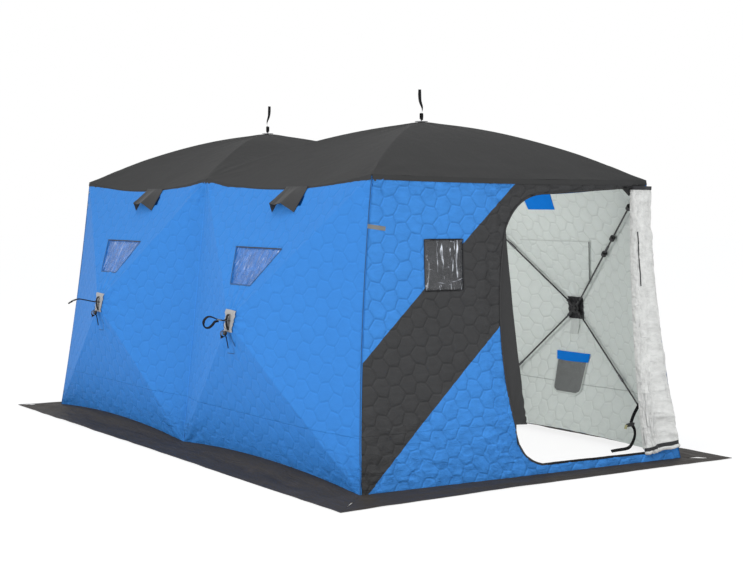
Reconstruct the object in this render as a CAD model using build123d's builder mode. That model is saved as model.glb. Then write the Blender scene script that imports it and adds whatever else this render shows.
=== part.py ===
from build123d import *
import os
from math import hypot, sqrt

# Pop-up ice fishing shelter with two hub bays, all sizes in millimetres.
# The long walls run along X and face -Y (front) and +Y (back); the open
# door is in the +X end wall.  The floor is Z = 0, the origin its centre.

# driving sizes
LENGTH = 4300.0            # across the feet of the end walls
WIDTH = 2360.0             # across the feet of the long walls
EAVE = 1720.0              # height of the corners where walls meet the roof
PEAK = 2100.0              # height of both roof hubs
LEAN = 170.0               # how far each wall leans in at the eave
WALL_HUB_X = 980.0         # wall hub, from the middle post
WALL_HUB_Z = 873.0
WALL_HUB_OUT = 169.0       # wall hub, outside the foot line
ROOF_HUB_X = 1000.0
WALL_T = 10.0              # quilted wall cloth
ROOF_T = 8.0
SKIRT_T = 4.0
COVER_T = 5.0              # quilted covers zipped over the windows
FILM_T = 2.0               # clear window film
FLAP_T = 4.0               # single cloth layers sewn on the walls
GAP = 1.0                  # between layers that lie on each other

# how the cloth is drawn in between the poles
EAVE_SAG = 70.0            # long eaves, between the posts
END_EAVE_SAG = 10.0
HEM_RISE = 45.0            # long wall hems, lifted between the posts
END_BOW = 40.0             # end walls, drawn in at half height
SADDLE = 180.0             # crown of the seam between the two roofs

# frame
POLE_R = 5.5
FERRULE_R = 8.0
FERRULE_LENGTH = 60.0
POCKET_R = 12.0
POCKET_LENGTH = 55.0
CLIP_R = 18.0
CLIP_LENGTH = 26.0
CLIP_SHARES = (0.48, 0.61, 0.86)  # cloth clips along the upper outer pole of a wall
HUB_FLAT = 100.0           # square where the wall cloth lies on a hub
HUB_R = 38.0
HUB_T = 24.0
HUB_BOSS_R = 24.0
HUB_BOSS_T = 6.0
HUB_EDGE = 3.0             # rounding of the hub's rim
KNUCKLE_T = 12.0           # flat tongue of a knuckle, between the cheeks of its slot
KNUCKLE_R = 8.0
SHOULDER = 42.0            # hub centre to where a knuckle becomes a sleeve
SOCKET_R = 11.0
SOCKET_REACH = 84.0        # hub centre to the mouth of a pole socket
SOCKET_DEPTH = 32.0
PIN_R = 2.5
PIN_AT = 24.0              # hub centre to a knuckle's pin
PIN_HALF = 12.0
PLAY = 0.3                 # between parts that turn or slide in each other
CORNER_INSET = 45.0        # pole tips, in from the corners of a wall
POLE_DEPTH = WALL_T + POCKET_R + 2 * GAP
BACKING = 150.0            # square sewn inside the wall behind each hub
PATCH = 140.0              # light square sewn on the face of each hub
PATCH_T = 2.0

SLOPE = hypot(EAVE, LEAN)
WALL_PLANE = Plane(
    origin=(0, -WIDTH / 2, 0), x_dir=(1, 0, 0), z_dir=(0, -EAVE, LEAN)
)
PANEL_REACH = 1.05         # panel prisms reach past the wall's outline
HUB_U, HUB_V, HUB_DEPTH = WALL_PLANE.to_local_coords(
    Vector(WALL_HUB_X, -WIDTH / 2 - WALL_HUB_OUT, WALL_HUB_Z)
)
EAVE_Y = WIDTH / 2 - LEAN
FOOT_U = LENGTH / 2
TOP_U = LENGTH / 2 - LEAN
MID_U = (FOOT_U + TOP_U) / 2 - END_BOW
FOOT_V = (SKIRT_T + WALL_T * LEAN / SLOPE) * SLOPE / EAVE
HALF_TURN = Location((0, 0, 0), (0, 0, 180))

pieces = []


def keep(name, part):
    """Label a finished piece and write its file."""
    part.label = name
    export_step(part, f"parts/{name}.step")
    pieces.append(part)


os.makedirs("parts", exist_ok=True)


# ---------------------------------------------------------------- long walls

def bay_outline(bay, depth):
    """Edge of one hub wall in its leaning plane, on the +X or -X bay."""
    foot = FOOT_V
    with BuildSketch(WALL_PLANE.offset(-depth)) as outline:
        with BuildLine():
            ThreePointArc((0, foot), (bay * FOOT_U / 2, foot + HEM_RISE), (bay * FOOT_U, foot))
            ThreePointArc((bay * FOOT_U, foot), (bay * MID_U, SLOPE / 2), (bay * TOP_U, SLOPE))
            ThreePointArc((bay * TOP_U, SLOPE), (bay * TOP_U / 2, SLOPE - EAVE_SAG), (0, SLOPE))
            Line((0, SLOPE), (0, foot))
        make_face()
    return outline.sketch


def hub_square(bay, depth):
    with BuildSketch(WALL_PLANE.offset(HUB_DEPTH - depth)) as square:
        with Locations((bay * HUB_U, HUB_V)):
            Rectangle(HUB_FLAT, HUB_FLAT)
    return square.sketch


def membrane(bay, depth, thickness):
    """One layer of a hub wall, from depth to depth + thickness behind its face."""
    back = depth + thickness
    with BuildPart() as layer:
        loft([bay_outline(bay, depth), hub_square(bay, depth)], ruled=True)
        extrude(bay_outline(bay, depth), amount=-thickness)
        loft([bay_outline(bay, back), hub_square(bay, back)], ruled=True, mode=Mode.SUBTRACT)
    return layer.part


def seam_panels(bay):
    """Prisms through the panels a hub wall is sewn from, a seam's width apart."""
    hub = Vector(bay * HUB_U, HUB_V)
    signs = ((-1, -1), (1, -1), (1, 1), (-1, 1))
    inner = [hub + Vector(bay * x, y) * (HUB_FLAT / 2) for x, y in signs]
    corners = [(0, FOOT_V), (bay * FOOT_U, FOOT_V), (bay * TOP_U, SLOPE), (0, SLOPE)]
    outer = [a + (Vector(b) - a) * PANEL_REACH for a, b in zip(inner, corners)]
    facets = [(inner[i], inner[i - 1], outer[i - 1], outer[i]) for i in range(4)]
    with BuildPart() as prisms:
        for panel in [inner, *facets]:
            with BuildSketch(WALL_PLANE):
                Polygon(*panel, align=None)
                offset(amount=-GAP / 2, mode=Mode.REPLACE)
            extrude(amount=WIDTH / 2, both=True)
    return prisms.part


def cut_prism(points):
    """A prism through the long wall above a list of (x, z) corners."""
    with BuildPart() as prism:
        with BuildSketch(Plane.XZ):
            Polygon(*points, align=None)
        extrude(amount=WIDTH)
    return prism.part


def patch(bay, points, depth, thickness):
    """A shaped layer that follows the long wall's surface."""
    with BuildPart() as layer:
        add(membrane(bay, depth, thickness))
        add(cut_prism(points), mode=Mode.INTERSECT)
    return layer.part


# (x from the hub, z) corners, seen from outside
WINDOW = [(-250, 1305), (-145, 1085), (105, 1085), (313, 1305)]
COVER = [(-330, 1335), (-200, 1052), (130, 1052), (398, 1335)]
POCKET = [(-160, 545), (-150, 340), (-110, 300), (100, 300), (140, 340), (150, 545)]
VENT_HALF = 80.0
VENT_Z = (1555.0, 1615.0)
VENT_FLAP_HALF = 125.0
VENT_FLAP_Z = (1535.0, 1635.0)
VENT_FRONT_X = 245.0       # vent centre from the hub on the front walls
VENT_BACK_X = 110.0        # and on the back walls, turned half round


def from_hub(bay, points):
    return [(bay * WALL_HUB_X + x, z) for x, z in points]


def band(centre, half, heights):
    low, high = heights
    return [(centre - half, low), (centre + half, low), (centre + half, high), (centre - half, high)]


def vent_x(bay, back):
    return bay * WALL_HUB_X + (VENT_BACK_X if back else VENT_FRONT_X)


def place(part, back):
    return HALF_TURN * part if back else part


# a back wall is made as a front wall and turned half round, so its bay swaps
WALLS = {
    "front_right": (1, False),
    "front_left": (-1, False),
    "back_right": (-1, True),
    "back_left": (1, True),
}

for name, (bay, back) in WALLS.items():
    vent = vent_x(bay, back)
    with BuildPart() as hub_wall:
        add(membrane(bay, 0, WALL_T))
        add(seam_panels(bay), mode=Mode.INTERSECT)
        add(cut_prism(from_hub(bay, WINDOW)), mode=Mode.SUBTRACT)
        add(cut_prism(band(vent, VENT_HALF, VENT_Z)), mode=Mode.SUBTRACT)
    keep(f"{name}_wall", place(hub_wall.part, back))
    with BuildPart() as pane:
        add(patch(bay, from_hub(bay, WINDOW), (WALL_T - FILM_T) / 2, FILM_T))
    keep(f"{name}_window", place(pane.part, back))

with BuildPart() as window_covers:
    for bay, back in WALLS.values():
        add(place(patch(bay, from_hub(bay, COVER), WALL_T, COVER_T), back))
keep("window_covers", window_covers.part)

with BuildPart() as vent_flaps:
    for bay, back in WALLS.values():
        flap = band(vent_x(bay, back), VENT_FLAP_HALF, VENT_FLAP_Z)
        add(place(patch(bay, flap, WALL_T, FLAP_T), back))
keep("vent_flaps", vent_flaps.part)

with BuildPart() as mesh_pockets:
    for bay, back in WALLS.values():
        add(place(patch(bay, from_hub(bay, POCKET), WALL_T, COVER_T), back))
keep("mesh_pockets", mesh_pockets.part)

# ---------------------------------------------------------------- end walls

DOOR_HINGE = 905.0         # hinge side of the doorway, from the middle
DOOR_LOCK = -90.0          # zip side of the doorway, at its foot
DOOR_BULGE = -150.0        # zip side, at half height
SILL = 66.0
HEAD_Z = 1640.0            # doorway head at the zip side, then rising
HEAD_RISE = 46.0
HEAD_START = 218.0         # where the rounded corner meets the head
SILL_START = 86.0
LOCK_LOW_Z = 298.0         # where the bowed side meets the rounded corners
LOCK_HIGH_Z = 1436.0
CORNER_BOW = 62.0          # height of the rounded corners' arcs over their chords
BINDING = 16.0             # zip tape sewn round the doorway
BINDING_T = 2.0
DOOR_WINDOW_Y = (270.0, 540.0)
END_WINDOW_Y = (-668.0, -398.0)
END_WINDOW_Z = (1085.0, 1372.0)


def end_section(depth, thickness):
    """The bowed end wall seen from the front, a layer behind its face."""
    back = depth + thickness
    with BuildSketch(Plane.XZ) as section:
        with BuildLine():
            ThreePointArc(
                (FOOT_U - depth, 0), (MID_U - depth, EAVE / 2), (TOP_U - depth, EAVE)
            )
            Line((TOP_U - depth, EAVE), (TOP_U - back, EAVE))
            ThreePointArc((TOP_U - back, EAVE), (MID_U - back, EAVE / 2), (FOOT_U - back, 0))
            Line((FOOT_U - back, 0), (FOOT_U - depth, 0))
        make_face()
    return section.sketch


def end_outline():
    """The end wall seen from outside, up to the inside of the long walls."""
    foot = WIDTH / 2 - WALL_T * SLOPE / EAVE - GAP / 2
    top = foot - LEAN
    top_z = EAVE - END_EAVE_SAG * (1 - (top / EAVE_Y) ** 2) - GAP / 10
    with BuildSketch(Plane.YZ) as outline:
        with BuildLine():
            Line((-foot, SKIRT_T), (foot, SKIRT_T))
            Line((foot, SKIRT_T), (top, top_z))
            ThreePointArc((top, top_z), (0, EAVE - END_EAVE_SAG), (-top, top_z))
            Line((-top, top_z), (-foot, SKIRT_T))
        make_face()
    return outline.sketch


def doorway_outline():
    """One tall bowed side, two rounded corners, and a straight hinge side."""
    lock_low = (DOOR_LOCK, LOCK_LOW_Z)
    lock_high = (DOOR_LOCK, LOCK_HIGH_Z)
    with BuildSketch(Plane.YZ) as outline:
        with BuildLine():
            ThreePointArc(lock_low, (DOOR_BULGE, EAVE / 2), lock_high)
            SagittaArc(lock_high, (HEAD_START, HEAD_Z), CORNER_BOW)
            Line((HEAD_START, HEAD_Z), (DOOR_HINGE, HEAD_Z + HEAD_RISE))
            Line((DOOR_HINGE, HEAD_Z + HEAD_RISE), (DOOR_HINGE, SILL))
            Line((DOOR_HINGE, SILL), (SILL_START, SILL))
            SagittaArc((SILL_START, SILL), lock_low, CORNER_BOW)
        make_face()
    return outline.sketch


def strip(y_low, y_high, z_low=0, z_high=EAVE):
    """A block that takes out part of the end wall between two widths."""
    with BuildPart() as block:
        with BuildSketch(Plane.YZ):
            with Locations(((y_low + y_high) / 2, (z_low + z_high) / 2)):
                Rectangle(y_high - y_low, z_high - z_low)
        extrude(amount=LENGTH)
    return block.part


def end_layer(depth, thickness, region):
    """One layer of the +X end wall, kept where the region is."""
    with BuildPart() as layer:
        extrude(end_section(depth, thickness), amount=WIDTH / 2, both=True)
        extrude(end_outline(), amount=LENGTH, mode=Mode.INTERSECT)
        add(region, mode=Mode.INTERSECT)
    return layer.part


def end_piece(region):
    with BuildPart() as piece:
        add(end_layer(0, WALL_T, region))
        extrude(doorway_outline(), amount=LENGTH, mode=Mode.SUBTRACT)
    return piece.part


END_REGIONS = {
    "end_wall": strip(-WIDTH / 2, SILL_START),
    "door_header": strip(HEAD_START, WIDTH / 2, HEAD_Z),
    "door_sill": strip(SILL_START, WIDTH / 2, 0, SILL),
    "door_post": strip(DOOR_HINGE, WIDTH / 2, SILL, HEAD_Z),
}
window_block = strip(*END_WINDOW_Y, *END_WINDOW_Z)
header_corner = strip(SILL_START, HEAD_START, EAVE / 2)

for side, back in (("right", False), ("left", True)):
    for name, region in END_REGIONS.items():
        with BuildPart() as end_wall:
            add(end_piece(region))
            if name == "end_wall":
                add(end_piece(header_corner))
                add(window_block, mode=Mode.SUBTRACT)
        keep(f"{side}_{name}", place(end_wall.part, back))
    pane = end_layer((WALL_T - FILM_T) / 2, FILM_T, window_block)
    keep(f"{side}_window", place(pane, back))

# the far door is zipped shut: the panel fills its doorway
door_window_block = strip(*DOOR_WINDOW_Y, *END_WINDOW_Z)
with BuildPart() as door_fill:
    extrude(doorway_outline(), amount=LENGTH)
with BuildPart() as left_door:
    add(end_layer(0, WALL_T, door_fill.part))
    add(door_window_block, mode=Mode.SUBTRACT)
keep("left_door", place(left_door.part, True))
keep("left_door_window", place(end_layer((WALL_T - FILM_T) / 2, FILM_T, door_window_block), True))

with BuildPart() as doorway_band:
    extrude(offset(doorway_outline(), amount=BINDING, mode=Mode.PRIVATE), amount=LENGTH)
    extrude(doorway_outline(), amount=LENGTH, mode=Mode.SUBTRACT)
    add(strip(-WIDTH / 2, DOOR_HINGE), mode=Mode.INTERSECT)
with BuildPart() as bindings:
    for back in (False, True):
        add(place(end_layer(-BINDING_T, BINDING_T, doorway_band.part), back))
keep("doorway_bindings", bindings.part)

# ---------------------------------------------------------------- roofs

STEPS = 6                  # cloth bands between the eave and a hub
HUB_PLATE = 40.0           # half width of the flat cap cloth over a hub
PLATE_SHARE = HUB_PLATE / EAVE_Y
GORE_SHARE = (HUB_PLATE + GAP) / EAVE_Y
PEAK_LOW = PEAK - ROOF_T   # underside of the roof cloth at a hub
POLE_SLOPE = 0.36          # how much of a roof pole's fall is straight, the rest curved
CAP_R = 42.0
CAP_T = 3.0


def pole_height(s):
    """Underside of the cloth over a roof pole, s from 0 at the hub to 1 at the eave."""
    return EAVE + (PEAK_LOW - EAVE) * (1 - POLE_SLOPE * s - (1 - POLE_SLOPE) * s ** 2)


def gore(corner_a, corner_b, crown):
    """One roof gore between two poles, crown(s) being its height over them."""
    hub = Vector(ROOF_HUB_X, 0)
    along = (Vector(corner_b) - Vector(corner_a)).normalized()
    sections = []
    for step in range(STEPS + 1):
        s = 1 - (1 - GORE_SHARE) * step / STEPS
        a = hub + (Vector(corner_a) - hub) * s
        b = hub + (Vector(corner_b) - hub) * s
        half = (b - a).length / 2 - GAP
        low = pole_height(s)
        middle = low + crown(s)
        upright = Plane(
            origin=(a + b) / 2, x_dir=along, z_dir=(along.Y, -along.X, 0)
        )
        with BuildSketch(upright) as section:
            with BuildLine():
                ThreePointArc((-half, low), (0, middle), (half, low))
                Line((half, low), (half, low + ROOF_T))
                ThreePointArc((half, low + ROOF_T), (0, middle + ROOF_T), (-half, low + ROOF_T))
                Line((-half, low + ROOF_T), (-half, low))
            make_face()
        sections.append(section.sketch)
    return loft(sections, ruled=True)


def along_poles(s, near=ROOF_HUB_X, far=TOP_U - ROOF_HUB_X):
    """Plan corners of the rectangle where the four roof poles pass s."""
    x_in, x_out, y = ROOF_HUB_X - near * s, ROOF_HUB_X + far * s, EAVE_Y * s
    return [(x_in, -y), (x_out, -y), (x_out, y), (x_in, y)]


CORNERS = along_poles(1)
CROWNS = [
    lambda s: -EAVE_SAG * s,
    lambda s: -END_EAVE_SAG * s,
    lambda s: -EAVE_SAG * s,
    lambda s: SADDLE * s ** 4,
]

with BuildPart() as roof:
    for i, crown in enumerate(CROWNS):
        add(gore(CORNERS[i], CORNERS[(i + 1) % 4], crown))
    with BuildSketch(Plane.XY.offset(pole_height(PLATE_SHARE))):
        Polygon(*along_poles(PLATE_SHARE), align=None)
    extrude(amount=ROOF_T)
keep("right_roof", roof.part)
keep("left_roof", place(roof.part, True))

with BuildPart() as cap:
    with BuildSketch(Plane.XY.offset(pole_height(PLATE_SHARE) + ROOF_T)):
        with Locations((ROOF_HUB_X, 0)):
            Circle(CAP_R)
    extrude(amount=CAP_T)
    chamfer(cap.edges().group_by(Axis.Z)[-1], length=CAP_T / 2)
with BuildPart() as roof_caps:
    add(cap.part)
    add(place(cap.part, True))
keep("roof_caps", roof_caps.part)

# ---------------------------------------------------------------- skirts

SKIRT_NEAR = (2455.0, 1495.0)  # outer corner beside the front door end
SKIRT_FAR = (2305.0, 1470.0)   # outer corner beside the door's hinge
SKIRT_UNDER = 10.0             # how far the skirt reaches under the walls
EYELET_R = 6.0                 # hole for a stake or ice anchor
BARREL_R = 8.0                 # through the skirt
EYELET_RIM = 14.0
EYELET_T = 2.0
EYELET_INSET = 70.0

half_eyelets = [
    (SKIRT_NEAR[0] - EYELET_INSET, EYELET_INSET - SKIRT_NEAR[1]),
    (SKIRT_FAR[0] - EYELET_INSET / 2, SKIRT_FAR[1] - EYELET_INSET),
    (0, EYELET_INSET - (SKIRT_NEAR[1] + SKIRT_FAR[1]) / 2),
]
EYELETS = half_eyelets + [(-x, -y) for x, y in half_eyelets]


def eyelet_holes():
    with BuildPart() as holes:
        with BuildSketch():
            with Locations(*EYELETS):
                Circle(BARREL_R)
        extrude(amount=SKIRT_T)
    return holes.part


foot_x, foot_y = FOOT_U - SKIRT_UNDER, WIDTH / 2 - SKIRT_UNDER
with BuildPart() as long_skirt:
    with BuildSketch() as spread:
        Polygon(
            (-foot_x, -foot_y), (foot_x, -foot_y),
            (SKIRT_NEAR[0], -SKIRT_NEAR[1]), (-SKIRT_FAR[0], -SKIRT_FAR[1]), align=None,
        )
    extrude(amount=SKIRT_T)
    with BuildSketch(WALL_PLANE.offset(-SKIRT_T)):
        for bay in (1, -1):
            with BuildLine():
                ThreePointArc(
                    (0, FOOT_V), (bay * FOOT_U / 2, FOOT_V + HEM_RISE), (bay * FOOT_U, FOOT_V)
                )
                Polyline((bay * FOOT_U, FOOT_V), (bay * FOOT_U, GAP), (0, GAP), (0, FOOT_V))
            make_face()
    extrude(amount=SKIRT_T, both=True)
    extrude(spread.sketch, amount=2 * HEM_RISE, mode=Mode.INTERSECT)
    add(eyelet_holes(), mode=Mode.SUBTRACT)
keep("front_skirt", long_skirt.part)
keep("back_skirt", place(long_skirt.part, True))

with BuildPart() as end_skirt:
    with BuildSketch():
        Polygon(
            (foot_x, -foot_y), (SKIRT_NEAR[0], -SKIRT_NEAR[1]),
            (SKIRT_FAR[0], SKIRT_FAR[1]), (foot_x, foot_y), align=None,
        )
    extrude(amount=SKIRT_T)
    add(eyelet_holes(), mode=Mode.SUBTRACT)
keep("right_skirt", end_skirt.part)
keep("left_skirt", place(end_skirt.part, True))

# ---------------------------------------------------------------- hubs and poles

HUB_MID = WALL_T + PATCH_T + HUB_T / 2   # depth of the hub's middle behind the wall face


def wall_spot(u, v, depth):
    return WALL_PLANE.from_local_coords(Vector(u, v, -depth))


def rod(start, end, radius):
    """A straight round bar between two points."""
    reach = end - start
    with BuildPart() as bar:
        with BuildSketch(Plane(origin=start, z_dir=reach)):
            Circle(radius)
        extrude(amount=reach.length)
    return bar.part


def sleeve(start, end, radius):
    """A bar with a pole's bore through it."""
    reach = end - start
    with BuildPart() as tube:
        with BuildSketch(Plane(origin=start, z_dir=reach)):
            Circle(radius)
            Circle(POLE_R + PLAY, mode=Mode.SUBTRACT)
        extrude(amount=reach.length)
    return tube.part


def pin_plane(centre, heading, axis):
    """Plane across a knuckle's pin: x along the pole, z along the pin."""
    return Plane(origin=centre, x_dir=heading, z_dir=axis.cross(heading))


def knuckle(centre, heading, axis):
    """The end of a pole that folds in its hub: a rounded tongue, then a socket."""
    mouth = centre + heading * SOCKET_REACH
    with BuildPart() as joint:
        with BuildSketch(pin_plane(centre, heading, axis)):
            with Locations((PIN_AT, 0)):
                Circle(KNUCKLE_R)
            with Locations(((PIN_AT + SHOULDER) / 2, 0)):
                Rectangle(SHOULDER - PIN_AT, 2 * KNUCKLE_R)
            with Locations((PIN_AT, 0)):
                Circle(PIN_R + PLAY, mode=Mode.SUBTRACT)
        extrude(amount=KNUCKLE_T / 2, both=True)
        add(rod(centre + heading * SHOULDER, mouth, SOCKET_R))
        add(rod(mouth - heading * SOCKET_DEPTH, mouth, POLE_R + PLAY), mode=Mode.SUBTRACT)
    return joint.part


def hub_pin(centre, heading, axis):
    with BuildPart() as pin:
        with BuildSketch(pin_plane(centre, heading, axis)):
            with Locations((PIN_AT, 0)):
                Circle(PIN_R)
        extrude(amount=PIN_HALF, both=True)
    return pin.part


def hub_body(centre, axis, headings):
    """A moulded hub, slotted for its four knuckles, with a boss on its inner side."""
    plane = Plane(origin=centre, z_dir=axis)
    slot = HUB_R + KNUCKLE_R
    with BuildPart() as body:
        with BuildSketch(plane):
            Circle(HUB_R)
        extrude(amount=HUB_T / 2, both=True)
        fillet(body.edges().filter_by(GeomType.CIRCLE), radius=HUB_EDGE)
        with BuildSketch(plane.offset(-HUB_T / 2)):
            Circle(HUB_BOSS_R)
        extrude(amount=-HUB_BOSS_T)
        for heading in headings:
            with BuildSketch(pin_plane(centre, heading, axis)):
                with Locations((PIN_AT - KNUCKLE_R - PLAY + slot / 2, 0)):
                    Rectangle(slot, 2 * slot)
            extrude(amount=KNUCKLE_T / 2 + PLAY, both=True, mode=Mode.SUBTRACT)
            add(hub_pin(centre, heading, axis), mode=Mode.SUBTRACT)
    return body.part


def gather(parts):
    with BuildPart() as group:
        for part in parts:
            add(part)
    return group.part


fittings = {name: [] for name in ("wall_hubs", "roof_hubs", "hub_knuckles", "hub_pins",
                                  "pole_ferrules", "pole_cups", "pole_clips")}


def add_hub(kind, centre, axis, headings, back):
    """A hub with its knuckles and pins, added to the lists of fittings."""
    fittings[kind].append(place(hub_body(centre, axis, headings), back))
    for heading in headings:
        fittings["hub_knuckles"].append(place(knuckle(centre, heading, axis), back))
        fittings["hub_pins"].append(place(hub_pin(centre, heading, axis), back))


def sleeve_at(start, heading, middle, length, radius):
    """A sleeve on a straight pole, its middle a distance from the pole's start."""
    low = start + heading * (middle - length / 2)
    return sleeve(low, low + heading * length, radius)


for name, (bay, back) in WALLS.items():
    centre = wall_spot(bay * HUB_U, HUB_V, HUB_MID - HUB_DEPTH)
    tips = [
        wall_spot(bay * u, v, POLE_DEPTH)
        for u, v in (
            (CORNER_INSET, FOOT_V + CORNER_INSET),
            (FOOT_U - 2 * CORNER_INSET, FOOT_V + CORNER_INSET),
            (TOP_U - CORNER_INSET, SLOPE - CORNER_INSET),
            (CORNER_INSET, SLOPE - CORNER_INSET),
        )
    ]
    headings = [(tip - centre).normalized() for tip in tips]
    add_hub("wall_hubs", centre, WALL_PLANE.z_dir, headings, back)
    poles = []
    for heading, tip in zip(headings, tips):
        start = centre + heading * (SOCKET_REACH - SOCKET_DEPTH)
        run = (tip - start).length
        poles.append(place(rod(start, tip, POLE_R), back))
        ferrule = sleeve_at(start, heading, run / 2, FERRULE_LENGTH, FERRULE_R)
        cup = sleeve_at(start, heading, run - POCKET_LENGTH / 2, POCKET_LENGTH, POCKET_R)
        fittings["pole_ferrules"].append(place(ferrule, back))
        fittings["pole_cups"].append(place(cup, back))
    upper = (tips[2] - centre).length
    for share in CLIP_SHARES:
        clip = sleeve_at(centre, headings[2], share * upper, CLIP_LENGTH, CLIP_R)
        fittings["pole_clips"].append(place(clip, back))
    keep(f"{name}_poles", gather(poles))

ROOF_POLE_DROP = 20.0      # pole centre below the underside of the cloth
s_tip = 1 - 2 * CORNER_INSET / EAVE_Y
hub_centre = Vector(ROOF_HUB_X, 0, pole_height(PLATE_SHARE) - HUB_T / 2)


def under_roof(s):
    return [Vector(x, y, pole_height(s) - ROOF_POLE_DROP) for x, y in along_poles(s)]


def roof_pole(waist, tip):
    """A bent pole from inside its socket to its tip, the cup on the tip, and its heading."""
    whole = Edge.make_three_point_arc(hub_centre, waist, tip)
    mouth = whole @ (SOCKET_REACH / whole.length)
    heading = (mouth - hub_centre).normalized()
    seat = hub_centre + heading * (SOCKET_REACH - SOCKET_DEPTH)
    with BuildPart() as pole:
        with BuildLine():
            run = ThreePointArc(mouth, whole @ 0.5, whole @ 1)
        with BuildSketch(Plane(origin=run @ 0, z_dir=run % 0)):
            Circle(POLE_R)
        sweep()
        add(rod(seat, mouth, POLE_R))
    cup = sleeve(tip - (run % 1) * POCKET_LENGTH / 2, tip, POCKET_R)
    return pole.part, cup, heading


for side, back in (("right", False), ("left", True)):
    poles, headings = [], []
    for waist, tip in zip(under_roof(0.5), under_roof(s_tip)):
        pole, cup, heading = roof_pole(waist, tip)
        poles.append(place(pole, back))
        headings.append(heading)
        fittings["pole_cups"].append(place(cup, back))
    add_hub("roof_hubs", hub_centre, Vector(0, 0, 1), headings, back)
    keep(f"{side}_roof_poles", gather(poles))

for name, parts in fittings.items():
    keep(name, gather(parts))

# ---------------------------------------------------------------- hub patches and straps

STRAP_WIDTH = 25.0
STRAP_T = 3.0
STRAP_BEND = 12.0
RING_R = 16.0
RING_BAR = 3.0

# each strap's line, as (out from the hub, up) points
CURLED = [(0, 0), (70, 4), (150, 26), (186, 12), (192, -22), (168, -46), (140, -34), (124, 2)]
STRAIGHT = [(0, 0), (85, 0), (150, 18), (205, 8), (262, -22)]
UPRIGHT = [(0, 0), (0, 34), (-5, 80), (12, 130), (8, 212)]


def square_round_hub(size):
    half = size / 2
    return [(x, WALL_HUB_Z + z) for x, z in ((-half, -half), (half, -half), (half, half), (-half, half))]


def strap(line, plane):
    """Flat webbing whose edge follows a line in a plane."""
    with BuildPart() as web:
        with BuildSketch(plane):
            with BuildLine() as path:
                FilletPolyline(*line, radius=STRAP_BEND)
            trace(path.line, line_width=STRAP_T)
        extrude(amount=STRAP_WIDTH / 2, both=True)
    return web.part


def ring(centre, across):
    """A round ring standing on a hub's patch, with the strap's line across it."""
    with BuildPart() as loop:
        with BuildLine():
            turn = CenterArc((0, 0), RING_R, 0, 360)
        with BuildSketch(Plane(origin=turn @ 0, z_dir=turn % 0)):
            Circle(RING_BAR)
        sweep()
    return Plane(origin=centre, x_dir=across, z_dir=across.cross(WALL_PLANE.z_dir)) * loop.part


wall_patches, backings, wall_straps, strap_rings = [], [], [], []
for name, (bay, back) in WALLS.items():
    wall_patches.append(place(patch(bay, from_hub(bay, square_round_hub(PATCH)), -PATCH_T, PATCH_T), back))
    backings.append(place(patch(bay, from_hub(bay, square_round_hub(BACKING)), WALL_T, PATCH_T), back))
    face = wall_spot(bay * HUB_U, HUB_V, -HUB_DEPTH - PATCH_T)
    middle = face + WALL_PLANE.z_dir * (RING_R + RING_BAR)
    strap_rings.append(place(ring(middle, Vector(1, 0, 0)), back))
    start = middle + WALL_PLANE.z_dir * (RING_R + RING_BAR + STRAP_T / 2)
    side_on = Plane(start, x_dir=(0, -1, 0), z_dir=(-1, 0, 0))
    wall_straps.append(place(strap(CURLED if bay > 0 else STRAIGHT, side_on), back))
keep("hub_patches", gather(wall_patches))
keep("hub_backings", gather(backings))
keep("strap_rings", gather(strap_rings))
keep("wall_pull_straps", gather(wall_straps))

roof_straps = []
for back in (False, True):
    foot = Vector(ROOF_HUB_X, 0, pole_height(PLATE_SHARE) + ROOF_T + CAP_T)
    roof_straps.append(place(strap(UPRIGHT, Plane(origin=foot, x_dir=(1, 0, 0), z_dir=(0, -1, 0))), back))
keep("roof_pull_straps", gather(roof_straps))

# ---------------------------------------------------------------- vent hoods

HOOD_LENGTH = 165.0
HOOD_TOP = (240.0, 232.0, 8.0)     # foot width, crown width and depth where it is sewn on
HOOD_MOUTH = (256.0, 122.0, 52.0)  # the same at its open mouth
HOOD_T = 4.0
HOOD_LIFT = 3.0            # clear of the wall's curve
HOOD_START = 1652.0        # height of its sewn edge


def hood_arch(plane, size, shrink):
    """The hood's section: wide at its foot, narrower at its crown."""
    wide, crown, deep = size
    with BuildSketch(plane) as arch:
        Polygon(
            (-wide / 2 + shrink, 0), (wide / 2 - shrink, 0),
            (crown / 2 - shrink / 2, deep - shrink), (-crown / 2 + shrink / 2, deep - shrink),
            align=None,
        )
    return arch.sketch


def facet_point(z, lift):
    """Point on the upper facet of a long wall, at a height, clear of the cloth."""
    fall = (EAVE - z) / (EAVE - WALL_HUB_Z)
    return Vector(0, -EAVE_Y - fall * (LEAN + WALL_HUB_OUT) - lift, z)


FACET_DOWN = (facet_point(WALL_HUB_Z, 0) - facet_point(EAVE, 0)).normalized()


def vent_hood(x):
    top = facet_point(HOOD_START, HOOD_LIFT) + Vector(x, 0, 0)
    start = Plane(origin=top, x_dir=(1, 0, 0), z_dir=FACET_DOWN)
    mouth = start.offset(HOOD_LENGTH)
    with BuildPart() as hood:
        loft([hood_arch(start, HOOD_TOP, 0), hood_arch(mouth, HOOD_MOUTH, 0)], ruled=True)
        inside = (start.offset(-GAP), HOOD_TOP), (mouth.offset(GAP), HOOD_MOUTH)
        loft([hood_arch(plane, size, HOOD_T) for plane, size in inside], ruled=True, mode=Mode.SUBTRACT)
    return hood.part


hoods = [place(vent_hood(vent_x(bay, back)), back) for bay, back in WALLS.values()]
keep("vent_hoods", gather(hoods))

# ---------------------------------------------------------------- open door

DOOR_T = 22.0              # the folded layers of the tied back door
DOOR_CLEAR = 12.0          # between its folds and the walls
DOOR_SEAM = 12.0           # its sewn edge, on the post
DOOR_WRAP = 280.0          # how far it reaches along the back wall
DOOR_LEVELS = (80.0, 234.0, 420.0, 860.0, 1290.0, 1493.0, 1680.0)


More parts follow.
